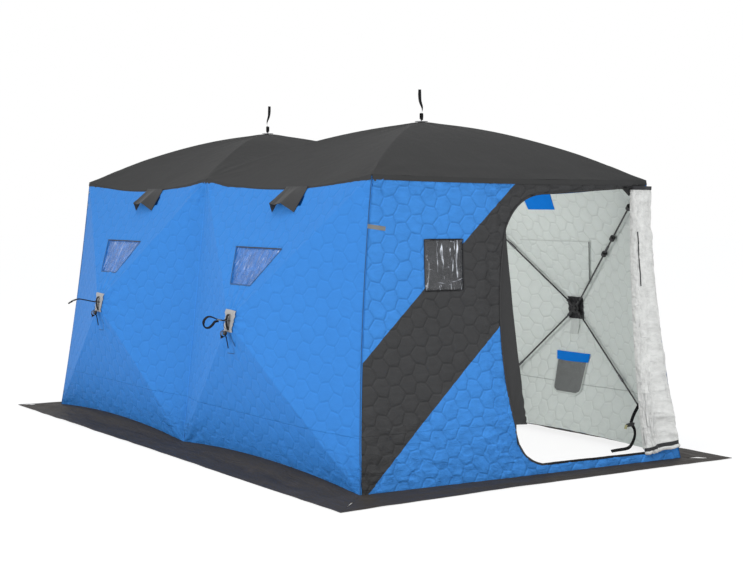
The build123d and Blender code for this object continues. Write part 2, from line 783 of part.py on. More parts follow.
FACET_RUN = MID_U - WALL_HUB_X - HUB_FLAT / 2  # from the end seam to the hub's square


def end_x(z):
    """Face of the +X end wall at a height."""
    t = z / EAVE
    return FOOT_U - LEAN * t - 4 * END_BOW * t * (1 - t)


def edge_share(z):
    """How far a height lies from the hem or eave towards the hub's square, 0 to 1."""
    return min(z / (WALL_HUB_Z - HUB_FLAT / 2), (EAVE - z) / (EAVE - WALL_HUB_Z - HUB_FLAT / 2))


def wall_bulge(inset, z):
    """How far the back wall stands out of its leaning plane near the end."""
    return HUB_DEPTH * min(inset / FACET_RUN, edge_share(z))


def door_section(z):
    """The door in plan: over the end wall's post, round the corner, along the back wall."""
    post = end_x(z) + GAP / 2
    x, y = end_x(z) + DOOR_CLEAR, WIDTH / 2 - LEAN * z / EAVE + DOOR_CLEAR
    knee = min(FACET_RUN * edge_share(z), DOOR_WRAP / 2)
    out_knee = y + wall_bulge(knee, z) + GAP
    out = y + wall_bulge(DOOR_WRAP, z)
    with BuildSketch(Plane.XY.offset(z)) as plan:
        Polygon(
            (post, DOOR_HINGE), (x + DOOR_T, DOOR_HINGE), (x + DOOR_T, y + DOOR_T),
            (x - knee, out_knee + DOOR_T), (x - DOOR_WRAP, out + DOOR_T),
            (x - DOOR_WRAP, out), (x - knee, out_knee), (x, y),
            (x, DOOR_HINGE + DOOR_SEAM), (post, DOOR_HINGE + DOOR_SEAM), align=None,
        )
    return plan.sketch


with BuildPart() as right_door:
    loft([door_section(z) for z in DOOR_LEVELS], ruled=True)
keep("right_door", right_door.part)

# ---------------------------------------------------------------- small parts

STORM_WIDTH = 95.0         # strip of cloth behind the zip of each doorway
STORM_T = 4.0
STORM_REACH = 10.0         # how far it starts beside the zip
STORM_TOP = HEAD_Z - 30
COVER_SIDE = 40.0          # cover past the window, at its sides
COVER_END = 35.0           # and above and below it

storm_region = strip(DOOR_BULGE - STORM_REACH, DOOR_LOCK + STORM_WIDTH, LOCK_LOW_Z, STORM_TOP)
storms = [place(end_layer(WALL_T, STORM_T, storm_region), back) for back in (False, True)]
keep("storm_flaps", gather(storms))

cover_region = strip(
    END_WINDOW_Y[0] - COVER_SIDE, END_WINDOW_Y[1] + COVER_SIDE,
    END_WINDOW_Z[0] - COVER_END, END_WINDOW_Z[1] + COVER_END,
)
end_covers = [place(end_layer(WALL_T, COVER_T, cover_region), back) for back in (False, True)]
keep("end_window_covers", gather(end_covers))

with BuildPart() as eyelets:
    with BuildSketch():
        with Locations(*EYELETS):
            Circle(BARREL_R)
            Circle(EYELET_R, mode=Mode.SUBTRACT)
    extrude(amount=SKIRT_T)
    with BuildSketch(Plane.XY.offset(SKIRT_T)):
        with Locations(*EYELETS):
            Circle(EYELET_RIM)
            Circle(EYELET_R, mode=Mode.SUBTRACT)
    extrude(amount=EYELET_T)
keep("skirt_eyelets", eyelets.part)

whole = Compound(pieces)
box = whole.bounding_box()
print("nodes", len(pieces), "size", box.size, "centre", box.center())
print("solid volume, litres", round(sum(piece.volume for piece in pieces) / 1e6, 1))
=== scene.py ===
from functools import partial
from math import atan2, copysign, cos, exp, hypot, pi, sin, sqrt

import bmesh
import bpy
from bpy.props import FloatProperty, FloatVectorProperty, PointerProperty
from bpy.types import Operator, Panel, PropertyGroup
from mathutils import Matrix, Vector, noise


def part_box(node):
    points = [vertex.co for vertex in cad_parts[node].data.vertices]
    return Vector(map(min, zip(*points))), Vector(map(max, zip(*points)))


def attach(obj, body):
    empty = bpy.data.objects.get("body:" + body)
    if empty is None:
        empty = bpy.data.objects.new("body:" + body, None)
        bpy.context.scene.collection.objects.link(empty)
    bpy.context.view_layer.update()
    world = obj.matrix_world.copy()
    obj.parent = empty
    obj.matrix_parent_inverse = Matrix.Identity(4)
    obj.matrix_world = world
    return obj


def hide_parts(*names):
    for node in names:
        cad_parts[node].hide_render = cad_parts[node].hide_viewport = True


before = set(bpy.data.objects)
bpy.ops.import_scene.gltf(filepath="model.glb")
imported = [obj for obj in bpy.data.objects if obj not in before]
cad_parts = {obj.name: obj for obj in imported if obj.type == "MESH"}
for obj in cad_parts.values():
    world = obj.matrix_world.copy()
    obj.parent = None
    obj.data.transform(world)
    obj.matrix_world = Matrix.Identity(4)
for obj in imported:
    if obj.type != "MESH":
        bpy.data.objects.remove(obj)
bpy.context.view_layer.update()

bl_info = {
    "name": "Pop-up ice shelter",
    "version": (1, 0, 0),
    "blender": (4, 5, 0),
    "location": "View3D > Sidebar > Shelter",
    "description": "Dresses the frame of a two-bay ice fishing shelter in quilted cloth",
    "category": "Object",
}

# ------------------------------------------------------------------ sizes from the frame, in metres

_, WALL_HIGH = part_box("front_right_wall")
_, ROOF_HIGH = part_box("right_roof")
FOOT_X = WALL_HIGH.x                 # feet of the end walls
EAVE = WALL_HIGH.z
PEAK = ROOF_HIGH.z
FOOT_Y = 1.18                        # feet of the long walls
LEAN = 0.17                          # how far each wall leans in at the eave
HUB_X, HUB_Z, HUB_OUT = 0.98, 0.873, 0.169
ROOF_HUB_X = 1.0
EAVE_X = FOOT_X - LEAN
EAVE_Y = FOOT_Y - LEAN
END_BOW = 0.04                       # end walls, drawn in at half height
EAVE_SAG = 0.07
END_SAG = 0.01
HEM_RISE = 0.045
SADDLE = 0.18                        # crown of the seam between the two roofs
SLOPE = hypot(EAVE, LEAN)
HEM = 0.005                          # foot of the wall cloth, on the skirt
HUB_HALF = 0.05                      # half of the flat square on a wall hub
WALL_T = 0.010

# plane of a front wall: across, up the slope, and out
ACROSS = Vector((1, 0, 0))
OUT = Vector((0, -EAVE, LEAN)) / SLOPE
UP = OUT.cross(ACROSS)
HUB_POINT = Vector((HUB_X, -FOOT_Y - HUB_OUT, HUB_Z)) - Vector((0, -FOOT_Y, 0))
HUB_V = HUB_POINT.dot(UP)
HUB_DEPTH = HUB_POINT.dot(OUT)

# name of a wall, its bay as it is sewn, and whether it is then turned to the back
WALLS = {
    "front_right": (1, False),
    "front_left": (-1, False),
    "back_right": (-1, True),
    "back_left": (1, True),
}
ENDS = {"right": False, "left": True}
HALF_TURN = Matrix.Rotation(pi, 4, "Z")
END_OUT = Vector((1, 0, 0))


def on_plane(u, v, out=0.0):
    """A point of the front wall's plane, out from it."""
    return Vector((0, -FOOT_Y, 0)) + ACROSS * u + UP * v + OUT * out


def side_of_wall(side, t):
    """Outline of a hub wall on the +X bay: 0 hem, 1 end seam, 2 eave, 3 middle post, t round it."""
    corners = [(0, HEM), (FOOT_X, HEM), (EAVE_X, SLOPE), (0, SLOPE)]
    pulls = [(0, HEM_RISE), (-END_BOW, 0), (0, -EAVE_SAG), (0, 0)]
    a, b, pull = Vector(corners[side]), Vector(corners[(side + 1) % 4]), Vector(pulls[side])
    return a.lerp(b, t) + pull * 4 * t * (1 - t)


def side_of_hub(side, t):
    h = HUB_HALF
    corners = [(-h, -h), (h, -h), (h, h), (-h, h)]
    return Vector((HUB_X, HUB_V)) + Vector(corners[side]).lerp(Vector(corners[(side + 1) % 4]), t)


FACET_REACH = 0.02                   # a spot this near to a facet counts as on it
FACET_ROUNDS, HEIGHT_ROUNDS = 6, 3   # steps of closing in that these two searches need


def facet_share(u, v):
    """How far a spot of the wall plane lies from the outline (0) to the hub (1), on the +X bay."""
    target = Vector((u, v))
    if max(abs(u - HUB_X), abs(v - HUB_V)) <= HUB_HALF:
        return 1.0
    best = 0.0
    for side in range(4):
        t, s = 0.5, 0.5
        for _ in range(FACET_ROUNDS):
            p, q = side_of_wall(side, t), side_of_hub(side, t)
            line = q - p
            s = min(max((target - p).dot(line) / line.dot(line), 0), 1)
            a = side_of_wall(side, 0).lerp(side_of_hub(side, 0), s)
            b = side_of_wall(side, 1).lerp(side_of_hub(side, 1), s)
            along = b - a
            t = min(max((target - a).dot(along) / along.dot(along), 0), 1)
        p = side_of_wall(side, t).lerp(side_of_hub(side, t), s)
        if (p - target).length < FACET_REACH:
            best = max(best, s)
    return best


def wall_spot(bay, x, z):
    """Where a height falls on a front wall: how far up its slope, and how far out the hub pushes it."""
    v = z * SLOPE / EAVE
    rise = 0.0
    for _ in range(HEIGHT_ROUNDS):
        rise = HUB_DEPTH * facet_share(bay * x, v)
        v = (z - rise * LEAN / SLOPE) * SLOPE / EAVE
    return v, rise


def on_wall(bay, x, z, out=0.0):
    """A spot of a front wall's outer face at a height, out from the cloth."""
    v, rise = wall_spot(bay, x, z)
    return on_plane(x, v, rise + out)


def end_x(z):
    """Outer face of the +X end wall at a height."""
    t = z / EAVE
    return FOOT_X - LEAN * t - 4 * END_BOW * t * (1 - t)


def half_width(z):
    return FOOT_Y - LEAN * z / EAVE - WALL_T


def on_end(y, z, out=0.0):
    return Vector((end_x(z) + out, y, z))


# ------------------------------------------------------------------ shader maths

class Wire:
    """A shader socket that takes part in sums."""

    def __init__(self, finish, socket):
        self.finish = finish
        self.socket = socket

    def clamped(self):
        return self.most(0.0).least(1.0)


def sum_node(operation, swapped=False):
    """A method of Wire that puts its socket and any others through one node of shader maths."""
    def method(wire, *others):
        inputs = (*others, wire) if swapped else (wire, *others)
        return wire.finish.node("ShaderNodeMath", {"operation": operation}, dict(enumerate(inputs)))["Value"]

    return method


SUMS = {
    "__add__": "ADD", "__sub__": "SUBTRACT", "__mul__": "MULTIPLY", "__mod__": "FLOORED_MODULO",
    "__gt__": "GREATER_THAN", "__lt__": "LESS_THAN", "__abs__": "ABSOLUTE", "sine": "SINE",
    "least": "MINIMUM", "most": "MAXIMUM",
}
for _name, _operation in SUMS.items():
    setattr(Wire, _name, sum_node(_operation))
for _name, _operation in (("__radd__", "ADD"), ("__rsub__", "SUBTRACT"), ("__rmul__", "MULTIPLY")):
    setattr(Wire, _name, sum_node(_operation, swapped=True))


class Made:
    """A node whose outputs are Wires."""

    def __init__(self, finish, made):
        self.finish = finish
        self.made = made

    def __getitem__(self, key):
        return Wire(self.finish, self.made.outputs[key])


class Nodes:
    """A node tree of a material or of the world."""

    def __init__(self, tree):
        self.tree = tree
        tree.nodes.clear()

    def node(self, kind, settings=None, inputs=None):
        made = self.tree.nodes.new(kind)
        for key, value in (settings or {}).items():
            setattr(made, key, value)
        self.feed(made, inputs or {})
        return Made(self, made)

    def feed(self, made, inputs):
        for key, value in inputs.items():
            if isinstance(value, Wire):
                self.tree.links.new(value.socket, made.inputs[key])
            else:
                made.inputs[key].default_value = value


class Finish(Nodes):
    """One material, with a principled shader at its end."""

    def __init__(self, name):
        self.material = bpy.data.materials.new(name)
        self.material.use_nodes = True
        super().__init__(self.material.node_tree)
        self.shader = self.node("ShaderNodeBsdfPrincipled")
        self.node("ShaderNodeOutputMaterial", inputs={"Surface": self.shader["BSDF"]})

    def set(self, **values):
        """Shader sockets by name, with underscores for spaces."""
        self.feed(self.shader.made, {key.replace("_", " "): value for key, value in values.items()})

    def places(self):
        return self.node("ShaderNodeTexCoord")["Object"]

    def cloth_places(self):
        """Metres along the cloth, from the piece's own UV map."""
        return self.node("ShaderNodeUVMap", {"uv_map": "cloth"})["UV"]

    def axes(self, vector):
        made = self.node("ShaderNodeSeparateXYZ", inputs={0: vector})
        return made["X"], made["Y"], made["Z"]

    def attribute(self, name):
        return self.node("ShaderNodeAttribute", {"attribute_name": name})["Fac"]

    def stretched(self, vector, scale, turn=(0, 0, 0)):
        sockets = {"Vector": vector, "Scale": scale, "Rotation": turn}
        return self.node("ShaderNodeMapping", inputs=sockets)["Vector"]

    def noise(self, vector, scale, detail=2.0, rough=0.5, warp=0.0):
        sockets = {"Vector": vector, "Scale": scale, "Detail": detail, "Roughness": rough, "Distortion": warp}
        return self.node("ShaderNodeTexNoise", inputs=sockets)["Fac"]

    def ramp(self, wire, low, high):
        """0 below low, 1 above high, smooth between."""
        sockets = {"Value": wire, "From Min": low, "From Max": high}
        return self.node("ShaderNodeMapRange", {"interpolation_type": "SMOOTHSTEP"}, sockets)["Result"]

    def blend(self, share, a, b):
        return self.node("ShaderNodeMix", {"data_type": "RGBA"}, {0: share, 6: a, 7: b})[2]

    def tint(self, colour, amount):
        """A colour made lighter or darker by a wire round 1."""
        scaled = {0: colour if isinstance(colour, Wire) else tuple(colour)[:3], 3: amount}
        return self.node("ShaderNodeVectorMath", {"operation": "SCALE"}, scaled)[0]

    def bump(self, height):
        """Normal from a height in metres."""
        sockets = {"Height": height, "Strength": 1.0, "Distance": 1.0}
        return self.node("ShaderNodeBump", inputs=sockets)["Normal"]


# ------------------------------------------------------------------ quilting, the same in mesh and finish

CELL = 0.104                         # height of a quilted cell, flat to flat
ROOT3 = sqrt(3.0)
WARP = 0.005                         # how unevenly the cells are sewn
ROUNDING = 0.24                      # share of a cell over which its edge is round
WEAVE_PITCH, WEAVE_DEPTH = 0.0011, 0.00003


def warped(u, v, sine):
    """Cloth places pushed about a little, so that no two cells are alike."""
    x = u + WARP * sine(v * 17.0 + u * 5.0) + WARP * sine(v * 43.0 + 1.7)
    y = v + WARP * sine(u * 19.0 + 0.6) + WARP * sine(u * 37.0 + v * 11.0)
    return x, y


def hex_reach(x, y, most):
    """Distance from a cell's middle, 0.5 at its stitching."""
    return most(abs(y), abs(x) * (ROOT3 / 2) + abs(y) * 0.5)


def stitch_distance(u, v, sine, most, least):
    """Distance from the nearest line of stitching, in cells: 0 on it and 0.5 in a cell's middle."""
    x, y = warped(u, v, sine)
    x, y = x * (1 / CELL), y * (1 / CELL)
    first = hex_reach(x % ROOT3 - ROOT3 / 2, y % 1.0 - 0.5, most)
    second = hex_reach((x + ROOT3 / 2) % ROOT3 - ROOT3 / 2, (y + 0.5) % 1.0 - 0.5, most)
    return 0.5 - least(first, second)


def pillow(u, v):
    """Height of the quilting over its stitching, 0 to 1."""
    d = min(max(stitch_distance(u, v, sin, max, min) / ROUNDING, 0.0), 1.0)
    return d * (2 - d)


def stitch_wire(u, v):
    return stitch_distance(u, v, Wire.sine, Wire.most, Wire.least)


def rgba(colour):
    return (*colour, 1.0)


def weave_height(finish, places):
    """Plain weave, as a height in metres."""
    x, y, z = finish.axes(finish.stretched(places, (2 * pi / WEAVE_PITCH,) * 3))
    return (x.sine() * (y + z).sine()) * WEAVE_DEPTH


def quilted(name, colour, looks, paint=None, seams=(), rough=0.62, crumple=1.0, relief=1.0,
            seam_dark=0.05, groove_painted_shade=0.07, relief_painted_shading=0.0, crease_painted_shading=0.0, shine=0.06):
    """Quilted polyester: stitched cells, crumples where the cloth is slack, level seams, and its weave."""
    finish = Finish(name)
    places = finish.cloth_places()
    u, v, _ = finish.axes(places)
    stitch = stitch_wire(u, v)
    cell = finish.ramp(stitch, 0.0, 0.13)
    groove = finish.ramp(stitch, 0.010, 0.060)
    # above and below look up the stitching a little higher and lower, so that light is painted on the upper
    # side of each cell's relief and shade on its lower side.
    above = finish.ramp(stitch_wire(u - 0.002, v + 0.004), 0.0, 0.08)
    below = finish.ramp(stitch_wire(u + 0.002, v - 0.004), 0.0, 0.08)
    slack = finish.attribute("slack")
    fine = finish.noise(finish.stretched(places, (11, 26, 1), (0, 0, 0.5)), 1.0, 5.0, 0.62, 0.8)
    soft = finish.noise(places, 7.0, 3.0, 0.5)
    pucker = finish.noise(places, 60.0, 2.0, 0.6)
    creases = fine * (slack * 3.5 + 0.55) * (looks.crumple * crumple)
    height = cell * (looks.quilt_depth * relief) + creases + soft * 0.004
    height = height + (1 - cell) * pucker * 0.0016 + weave_height(finish, finish.places())
    # Painted shade: the colour is darkened along the stitched grooves, where the quilting is sunk.
    shade = 0.97 - (1 - groove) * groove_painted_shade + (soft - 0.5) * 0.06 + (below - above) * relief_painted_shading
    # Painted light and shade on the creases: the crease noise lightens and darkens the colour, more where the
    # cloth is slack.
    shade = shade + (fine - 0.5) * (slack * 0.9 + 0.3) * crease_painted_shading
    for seam in seams:
        line = finish.ramp(abs(v + soft * 0.012 - seam - 0.006), 0.0, 0.005)
        height = height + line * 0.0022
        shade = shade + (line - 1) * seam_dark
    base = paint(finish, u, v) if paint else colour
    finish.set(Base_Color=finish.tint(base, shade), Roughness=rough, Normal=finish.bump(height))
    finish.set(Specular_IOR_Level=shine)
    return finish.material


def plain_cloth(name, colour, crumple, scale, rough=0.7, shine=0.3):
    """Unquilted cloth with folds and a weave."""
    finish = Finish(name)
    places = finish.places()
    folds = finish.noise(places, scale, 4.0, 0.6, 0.6)
    fine = finish.noise(places, scale * 6, 3.0, 0.6)
    height = folds * crumple * 2 + fine * crumple * 0.25 + weave_height(finish, places)
    # Painted light and shade: the colour follows the same fold and fine noises as the height, lighter on
    # their crests and darker in their hollows.
    shade = 0.88 + folds * 0.18 + fine * 0.06
    finish.set(Base_Color=finish.tint(colour, shade), Roughness=rough, Normal=finish.bump(height))
    finish.set(Sheen_Weight=0.08, Specular_IOR_Level=shine)
    return finish.material


# ------------------------------------------------------------------ cloth meshes

WELD = 0.0001
HOLE_MARGIN = 0.05                   # faces this far round an opening are looked at
HARD_EDGE = pi / 3                   # an edge that turns more than this isn't smoothed


def cloth_grid(columns, rows, place, flat):
    """A grid of cloth; place and flat take (a, b) from 0 to 1 to a point and to metres along the cloth."""
    bm = bmesh.new()
    bmesh.ops.create_grid(bm, x_segments=columns, y_segments=rows, size=0.5)
    uv = bm.loops.layers.uv.new("cloth")
    for face in bm.faces:
        for loop in face.loops:
            loop[uv].uv = flat(loop.vert.co.x + 0.5, loop.vert.co.y + 0.5)
    for vert in bm.verts:
        vert.co = place(vert.co.x + 0.5, vert.co.y + 0.5)
    return bm


def joined(parts):
    """Several finished bmeshes as one, nothing welded."""
    whole = bmesh.new()
    whole.loops.layers.uv.new("cloth")
    for bm in parts:
        part = bpy.data.meshes.new("part")
        bm.to_mesh(part)
        bm.free()
        whole.from_mesh(part)
        bpy.data.meshes.remove(part)
    return whole


def merged(meshes):
    """Several bmeshes in one, welded where they meet."""
    whole = joined(meshes)
    bmesh.ops.remove_doubles(whole, verts=whole.verts, dist=WELD)
    return whole


def cut_hole(bm, corners, across="x"):
    """Cut an opening between corners given as (x, z), or as (y, z) in an end wall."""
    sides, heights = zip(*corners)
    low, high = min(heights) - HOLE_MARGIN, max(heights) + HOLE_MARGIN
    left, right = min(sides) - HOLE_MARGIN, max(sides) + HOLE_MARGIN

    def near():
        found = []
        for face in bm.faces:
            c = face.calc_center_median()
            if left < getattr(c, across) < right and low < c.z < high:
                found.append((face, (getattr(c, across), c.z)))
        return found

    def spatial(a, z):
        return Vector((a, 0, z) if across == "x" else (0, a, z))

    for (xa, za), (xb, zb) in zip(corners, [*corners[1:], corners[0]]):
        geom = list({g for face, _ in near() for g in (*face.verts, *face.edges, face)})
        bmesh.ops.bisect_plane(bm, geom=geom, plane_co=spatial(xa, za), plane_no=spatial(zb - za, xa - xb))
    unwanted = [face for face, spot in near() if inside_outline(*spot, corners)]
    bmesh.ops.delete(bm, geom=unwanted, context="FACES")


def inside_outline(x, y, outline):
    inside = False
    for (xa, ya), (xb, yb) in zip(outline, [*outline[1:], outline[0]]):
        if (ya > y) != (yb > y) and x < (xb - xa) * (y - ya) / (yb - ya) + xa:
            inside = not inside
    return inside


def doubled(bm, thickness):
    """Give a sheet a second face below the first and close its rims."""
    bm.normal_update()
    uv = bm.loops.layers.uv["cloth"]
    rims = [(edge.verts[0], edge.verts[1], edge.link_faces[0]) for edge in bm.edges if edge.is_boundary]
    first = list(bm.verts)
    copied = bmesh.ops.duplicate(bm, geom=bm.verts[:] + bm.edges[:] + bm.faces[:])
    twin = {vert: copied["vert_map"][vert] for vert in first}
    for vert in first:
        twin[vert].co = vert.co - vert.normal * thickness
    behind = [item for item in copied["geom"] if isinstance(item, bmesh.types.BMFace)]
    bmesh.ops.reverse_faces(bm, faces=behind)
    for a, b, face in rims:
        spots = {loop.vert: loop[uv].uv.copy() for loop in face.loops}
        order = [loop.vert for loop in face.loops]
        if order[(order.index(a) + 1) % len(order)] is b:
            a, b = b, a
        rim = bm.faces.new((a, b, twin[b], twin[a]))
        rim.smooth = face.smooth
        for loop, source in zip(rim.loops, (a, b, b, a)):
            loop[uv].uv = spots[source]


def thicken(bm, thickness, puff=0.0, slack=None, ripple=None):
    """Give cloth its thickness, quilt it on both sides, and paint where it is slack."""
    uv = bm.loops.layers.uv["cloth"]
    share = bm.verts.layers.float.new("puffed")
    loose = bm.verts.layers.float.new("slack")
    bm.normal_update()
    for vert in bm.verts:
        u, v = vert.link_loops[0][uv].uv if vert.link_loops else (0, 0)
        vert[share] = 0.0 if vert.is_boundary else pillow(u, v)
        vert[loose] = min(max(slack(u, v), 0.0), 1.0) if slack else 0.0
    if ripple:
        moved = [(vert, vert.normal.copy()) for vert in bm.verts if vert.link_loops]
        for vert, normal in moved:
            u, v = vert.link_loops[0][uv].uv
            vert.co += normal * ripple(u, v)
    front, outer = set(bm.faces), set(bm.verts)
    doubled(bm, thickness)
    for face in bm.faces:
        if face not in front:
            face.material_index = 0 if any(v in outer for v in face.verts) else 1
    bm.normal_update()
    if puff:
        for vert, normal in [(vert, vert.normal.copy()) for vert in bm.verts]:
            vert.co += normal * puff * vert[share]


def turned_if(bm, back):
    if back:
        bmesh.ops.transform(bm, matrix=HALF_TURN, verts=bm.verts)
    return bm


def put(name, bm, finishes, slot, turned=False, nodes=(), sheet=None):
    """Make a bmesh a finished piece on the shelter; sheet is (flat size, way it is held, area or None) and is
    not used.
    """
    turned_if(bm, turned)
    bm.normal_update()
    for face in bm.faces:
        face.smooth = True
    for edge in bm.edges:
        edge.smooth = len(edge.link_faces) != 2 or edge.calc_face_angle(0) < HARD_EDGE
    mesh = bpy.data.meshes.new(name)
    bm.to_mesh(mesh)
    bm.free()
    for finish in finishes:
        mesh.materials.append(cloth(finish))
    piece = bpy.data.objects.new(name, mesh)
    bpy.context.scene.collection.objects.link(piece)
    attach(piece, "root")
    if nodes:
        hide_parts(*nodes)


def near_to(distance, reach):
    """1 at a place, fading away over a reach."""
    return exp(-((distance / reach) ** 2))


def wavy(x, y, seed, scale):
    return noise.noise(Vector((x * scale, y * scale, seed)))


# ------------------------------------------------------------------ folds in the stretched cloth

WALL_ANCHORS = [Vector((x, v)) for x in (-FOOT_X, 0, FOOT_X) for v in (HEM, SLOPE)]
WALL_HUBS = [Vector((bay * HUB_X, HUB_V)) for bay in (-1, 1)]
FOOT_PLEAT, EAVE_PLEAT, END_PLEAT = 0.0115, 0.0050, 0.0045


def fan(spot, anchor, pleats, height, reach):
    """Pleats that run out from where the cloth is held."""
    away = spot - anchor
    distance = away.length
    turn = atan2(away.y, away.x)
    wave = sin(pleats * turn + 2.5 * wavy(spot.x, spot.y, anchor.x, 5.0))
    return height * wave * near_to(distance, reach) * (1 - near_to(distance, reach / 6))


def wall_ripple(u, v):
    spot = Vector((u, v))
    height = 0.0035 * wavy(u, v, 3.1, 1.7)
    for hub in WALL_HUBS:
        height += fan(spot, hub, 13, 0.0032, 0.26)
    for anchor in WALL_ANCHORS:
        pleats = 19 if anchor.x else 15
        height += fan(spot, anchor, pleats, FOOT_PLEAT if anchor.y == HEM else EAVE_PLEAT, 0.30)
    crumple = noise.noise(Vector((u * 14, v * 42, 4.0)))
    return height + 0.0045 * crumple * near_to(v - HEM, 0.16)


def wall_slack(u, v):
    spot = Vector((u, v))
    loose = 1.0 * near_to(v, 0.17)
    loose += sum(0.8 * near_to((spot - anchor).length, 0.22) for anchor in WALL_ANCHORS)
    return loose + sum(0.45 * near_to((spot - hub).length, 0.22) for hub in WALL_HUBS)


def end_ripple(y, z):
    spot = Vector((y, z))
    height = 0.004 * wavy(y, z, 8.3, 2.0)
    for anchor in (Vector((-FOOT_Y, HEM)), Vector((-EAVE_Y, EAVE)), Vector((DOOR_LOCK, DOOR_LOW))):
        height += fan(spot, anchor, 21, END_PLEAT, 0.3)
    pleat = sin((y - doorway_side(z)) * 2 * pi / 0.045) * near_to(y - doorway_side(z) + 0.085, 0.045)
    height += 0.004 * pleat
    crumple = noise.noise(Vector((y * 16, z * 40, 6.0)))
    return height + 0.0080 * crumple * near_to(z, 0.36)


def end_slack(y, z):
    beside = near_to(y - doorway_side(z) + 0.06, 0.10)
    return 1.0 * near_to(z, 0.34) + 0.5 * beside + 0.12 + 0.6 * near_to(EAVE - z, 0.07)


# ------------------------------------------------------------------ long walls

# (x from the hub, z) corners, low left first, seen from outside
WINDOW = ((-0.145, 1.085), (0.105, 1.085), (0.313, 1.305), (-0.250, 1.305))
COVER = ((-0.200, 1.052), (0.130, 1.052), (0.398, 1.335), (-0.330, 1.335))
WALL_COLUMNS, WALL_ROWS, HUB_CELLS = (120, 100, 116, 100), 45, 8
VENT_HALF = 0.080
VENT_LOW, VENT_HIGH = 1.555, 1.615
VENT_FRONT, VENT_BACK = 0.245, 0.110     # vent centre from the hub


def vent_x(bay, back):
    return bay * HUB_X + (VENT_BACK if back else VENT_FRONT)


def rectangle(left, low, right, high):
    """Its corners, low left first."""
    return [(left, low), (right, low), (right, high), (left, high)]


def shifted(corners, x):
    return [(a + x, z) for a, z in corners]


def facet(bay, side, columns, rows):
    """One of the four panels that run from an edge of the wall to its hub."""
    def spot(t, s):
        u, v = side_of_wall(side, t).lerp(side_of_hub(side, t), s)
        return bay * u, v

    return cloth_grid(columns, rows, lambda t, s: on_plane(*spot(t, s), HUB_DEPTH * s), spot)


def wall_cloth(bay, back):
    """Cloth of one long wall of a bay, still without thickness."""
    panels = [facet(bay, side, columns, WALL_ROWS) for side, columns in enumerate(WALL_COLUMNS)]

    def spot(a, b):
        return HUB_X + HUB_HALF * (2 * a - 1), HUB_V + HUB_HALF * (2 * b - 1)

    def middle(a, b):
        u, v = spot(a, b)
        return on_plane(bay * u, v, HUB_DEPTH)

    panels.append(cloth_grid(HUB_CELLS, HUB_CELLS, middle, spot))
    bm = merged(panels)
    if bay < 0:
        bmesh.ops.reverse_faces(bm, faces=bm.faces)
    cut_hole(bm, shifted(WINDOW, bay * HUB_X))
    vent = vent_x(bay, back)
    cut_hole(bm, rectangle(vent - VENT_HALF, VENT_LOW, vent + VENT_HALF, VENT_HIGH))
    return bm


def wall_skin(bay, x, z, out):
    """A spot that keeps its distance from the folds of a long wall."""
    v, rise = wall_spot(bay, x, z)
    return on_plane(x, v, rise + out + wall_ripple(bay * x, v))


def on_patch(skin, corners, out, columns, rows):
    """A layer on a wall between four corners, low left first; skin(a, z, out) gives its spots."""
    low_left, low_right, high_right, high_left = (Vector(c) for c in corners)

    def spot(a, b):
        return tuple(low_left.lerp(low_right, a).lerp(high_left.lerp(high_right, a), b))

    def place(a, b):
        return skin(*spot(a, b), out(a, b) if callable(out) else out)

    return cloth_grid(columns, rows, place, spot)


# ------------------------------------------------------------------ end walls

DOOR_HINGE, DOOR_LOCK, DOOR_BULGE = 0.905, -0.090, -0.150
SILL, HEAD, HEAD_RISE = 0.066, 1.640, 0.046
DOOR_LOW, DOOR_HIGH = 0.298, 1.436       # where the bowed side meets the rounded corners
SILL_START, HEAD_START = 0.086, 0.218    # where those corners meet sill and head
CORNER_BOW = 0.062
END_WINDOW = rectangle(-0.668, 1.085, -0.398, 1.372)
DOOR_WINDOW = rectangle(0.270, 1.085, 0.540, 1.372)
END_COLUMNS, END_ROWS = 160, 120
EDGE_REACH = 0.010                   # vertices this near to the doorway's edge are moved onto it
END_TOP = EAVE - 0.001


def bowed(a, b, bow, steps):
    """Points of an arc from a to b, bowed to the left of that line."""
    a, b = Vector(a), Vector(b)
    left = Vector((a.y - b.y, b.x - a.x)).normalized()
    shares = [i / steps for i in range(steps)]
    return [a.lerp(b, t) + left * 4 * bow * t * (1 - t) for t in shares]


def doorway_edge():
    """The doorway from the top of its hinge round to the foot of it, as (y, z)."""
    edge = bowed((DOOR_HINGE, HEAD + HEAD_RISE), (HEAD_START, HEAD), 0, 24)
    edge += bowed((HEAD_START, HEAD), (DOOR_LOCK, DOOR_HIGH), -CORNER_BOW, 20)
    edge += bowed((DOOR_LOCK, DOOR_HIGH), (DOOR_LOCK, DOOR_LOW), DOOR_BULGE - DOOR_LOCK, 40)
    edge += bowed((DOOR_LOCK, DOOR_LOW), (SILL_START, SILL), -CORNER_BOW, 16)
    return edge + bowed((SILL_START, SILL), (DOOR_HINGE, SILL), 0, 24) + [Vector((DOOR_HINGE, SILL))]


def doorway_side(z):
    """Zip side of the doorway at a height."""
    t = (z - DOOR_LOW) / (DOOR_HIGH - DOOR_LOW)
    return DOOR_LOCK + (DOOR_BULGE - DOOR_LOCK) * max(4 * t * (1 - t), 0)


def end_top(y):
    return END_TOP - END_SAG * (1 - (y / EAVE_Y) ** 2)


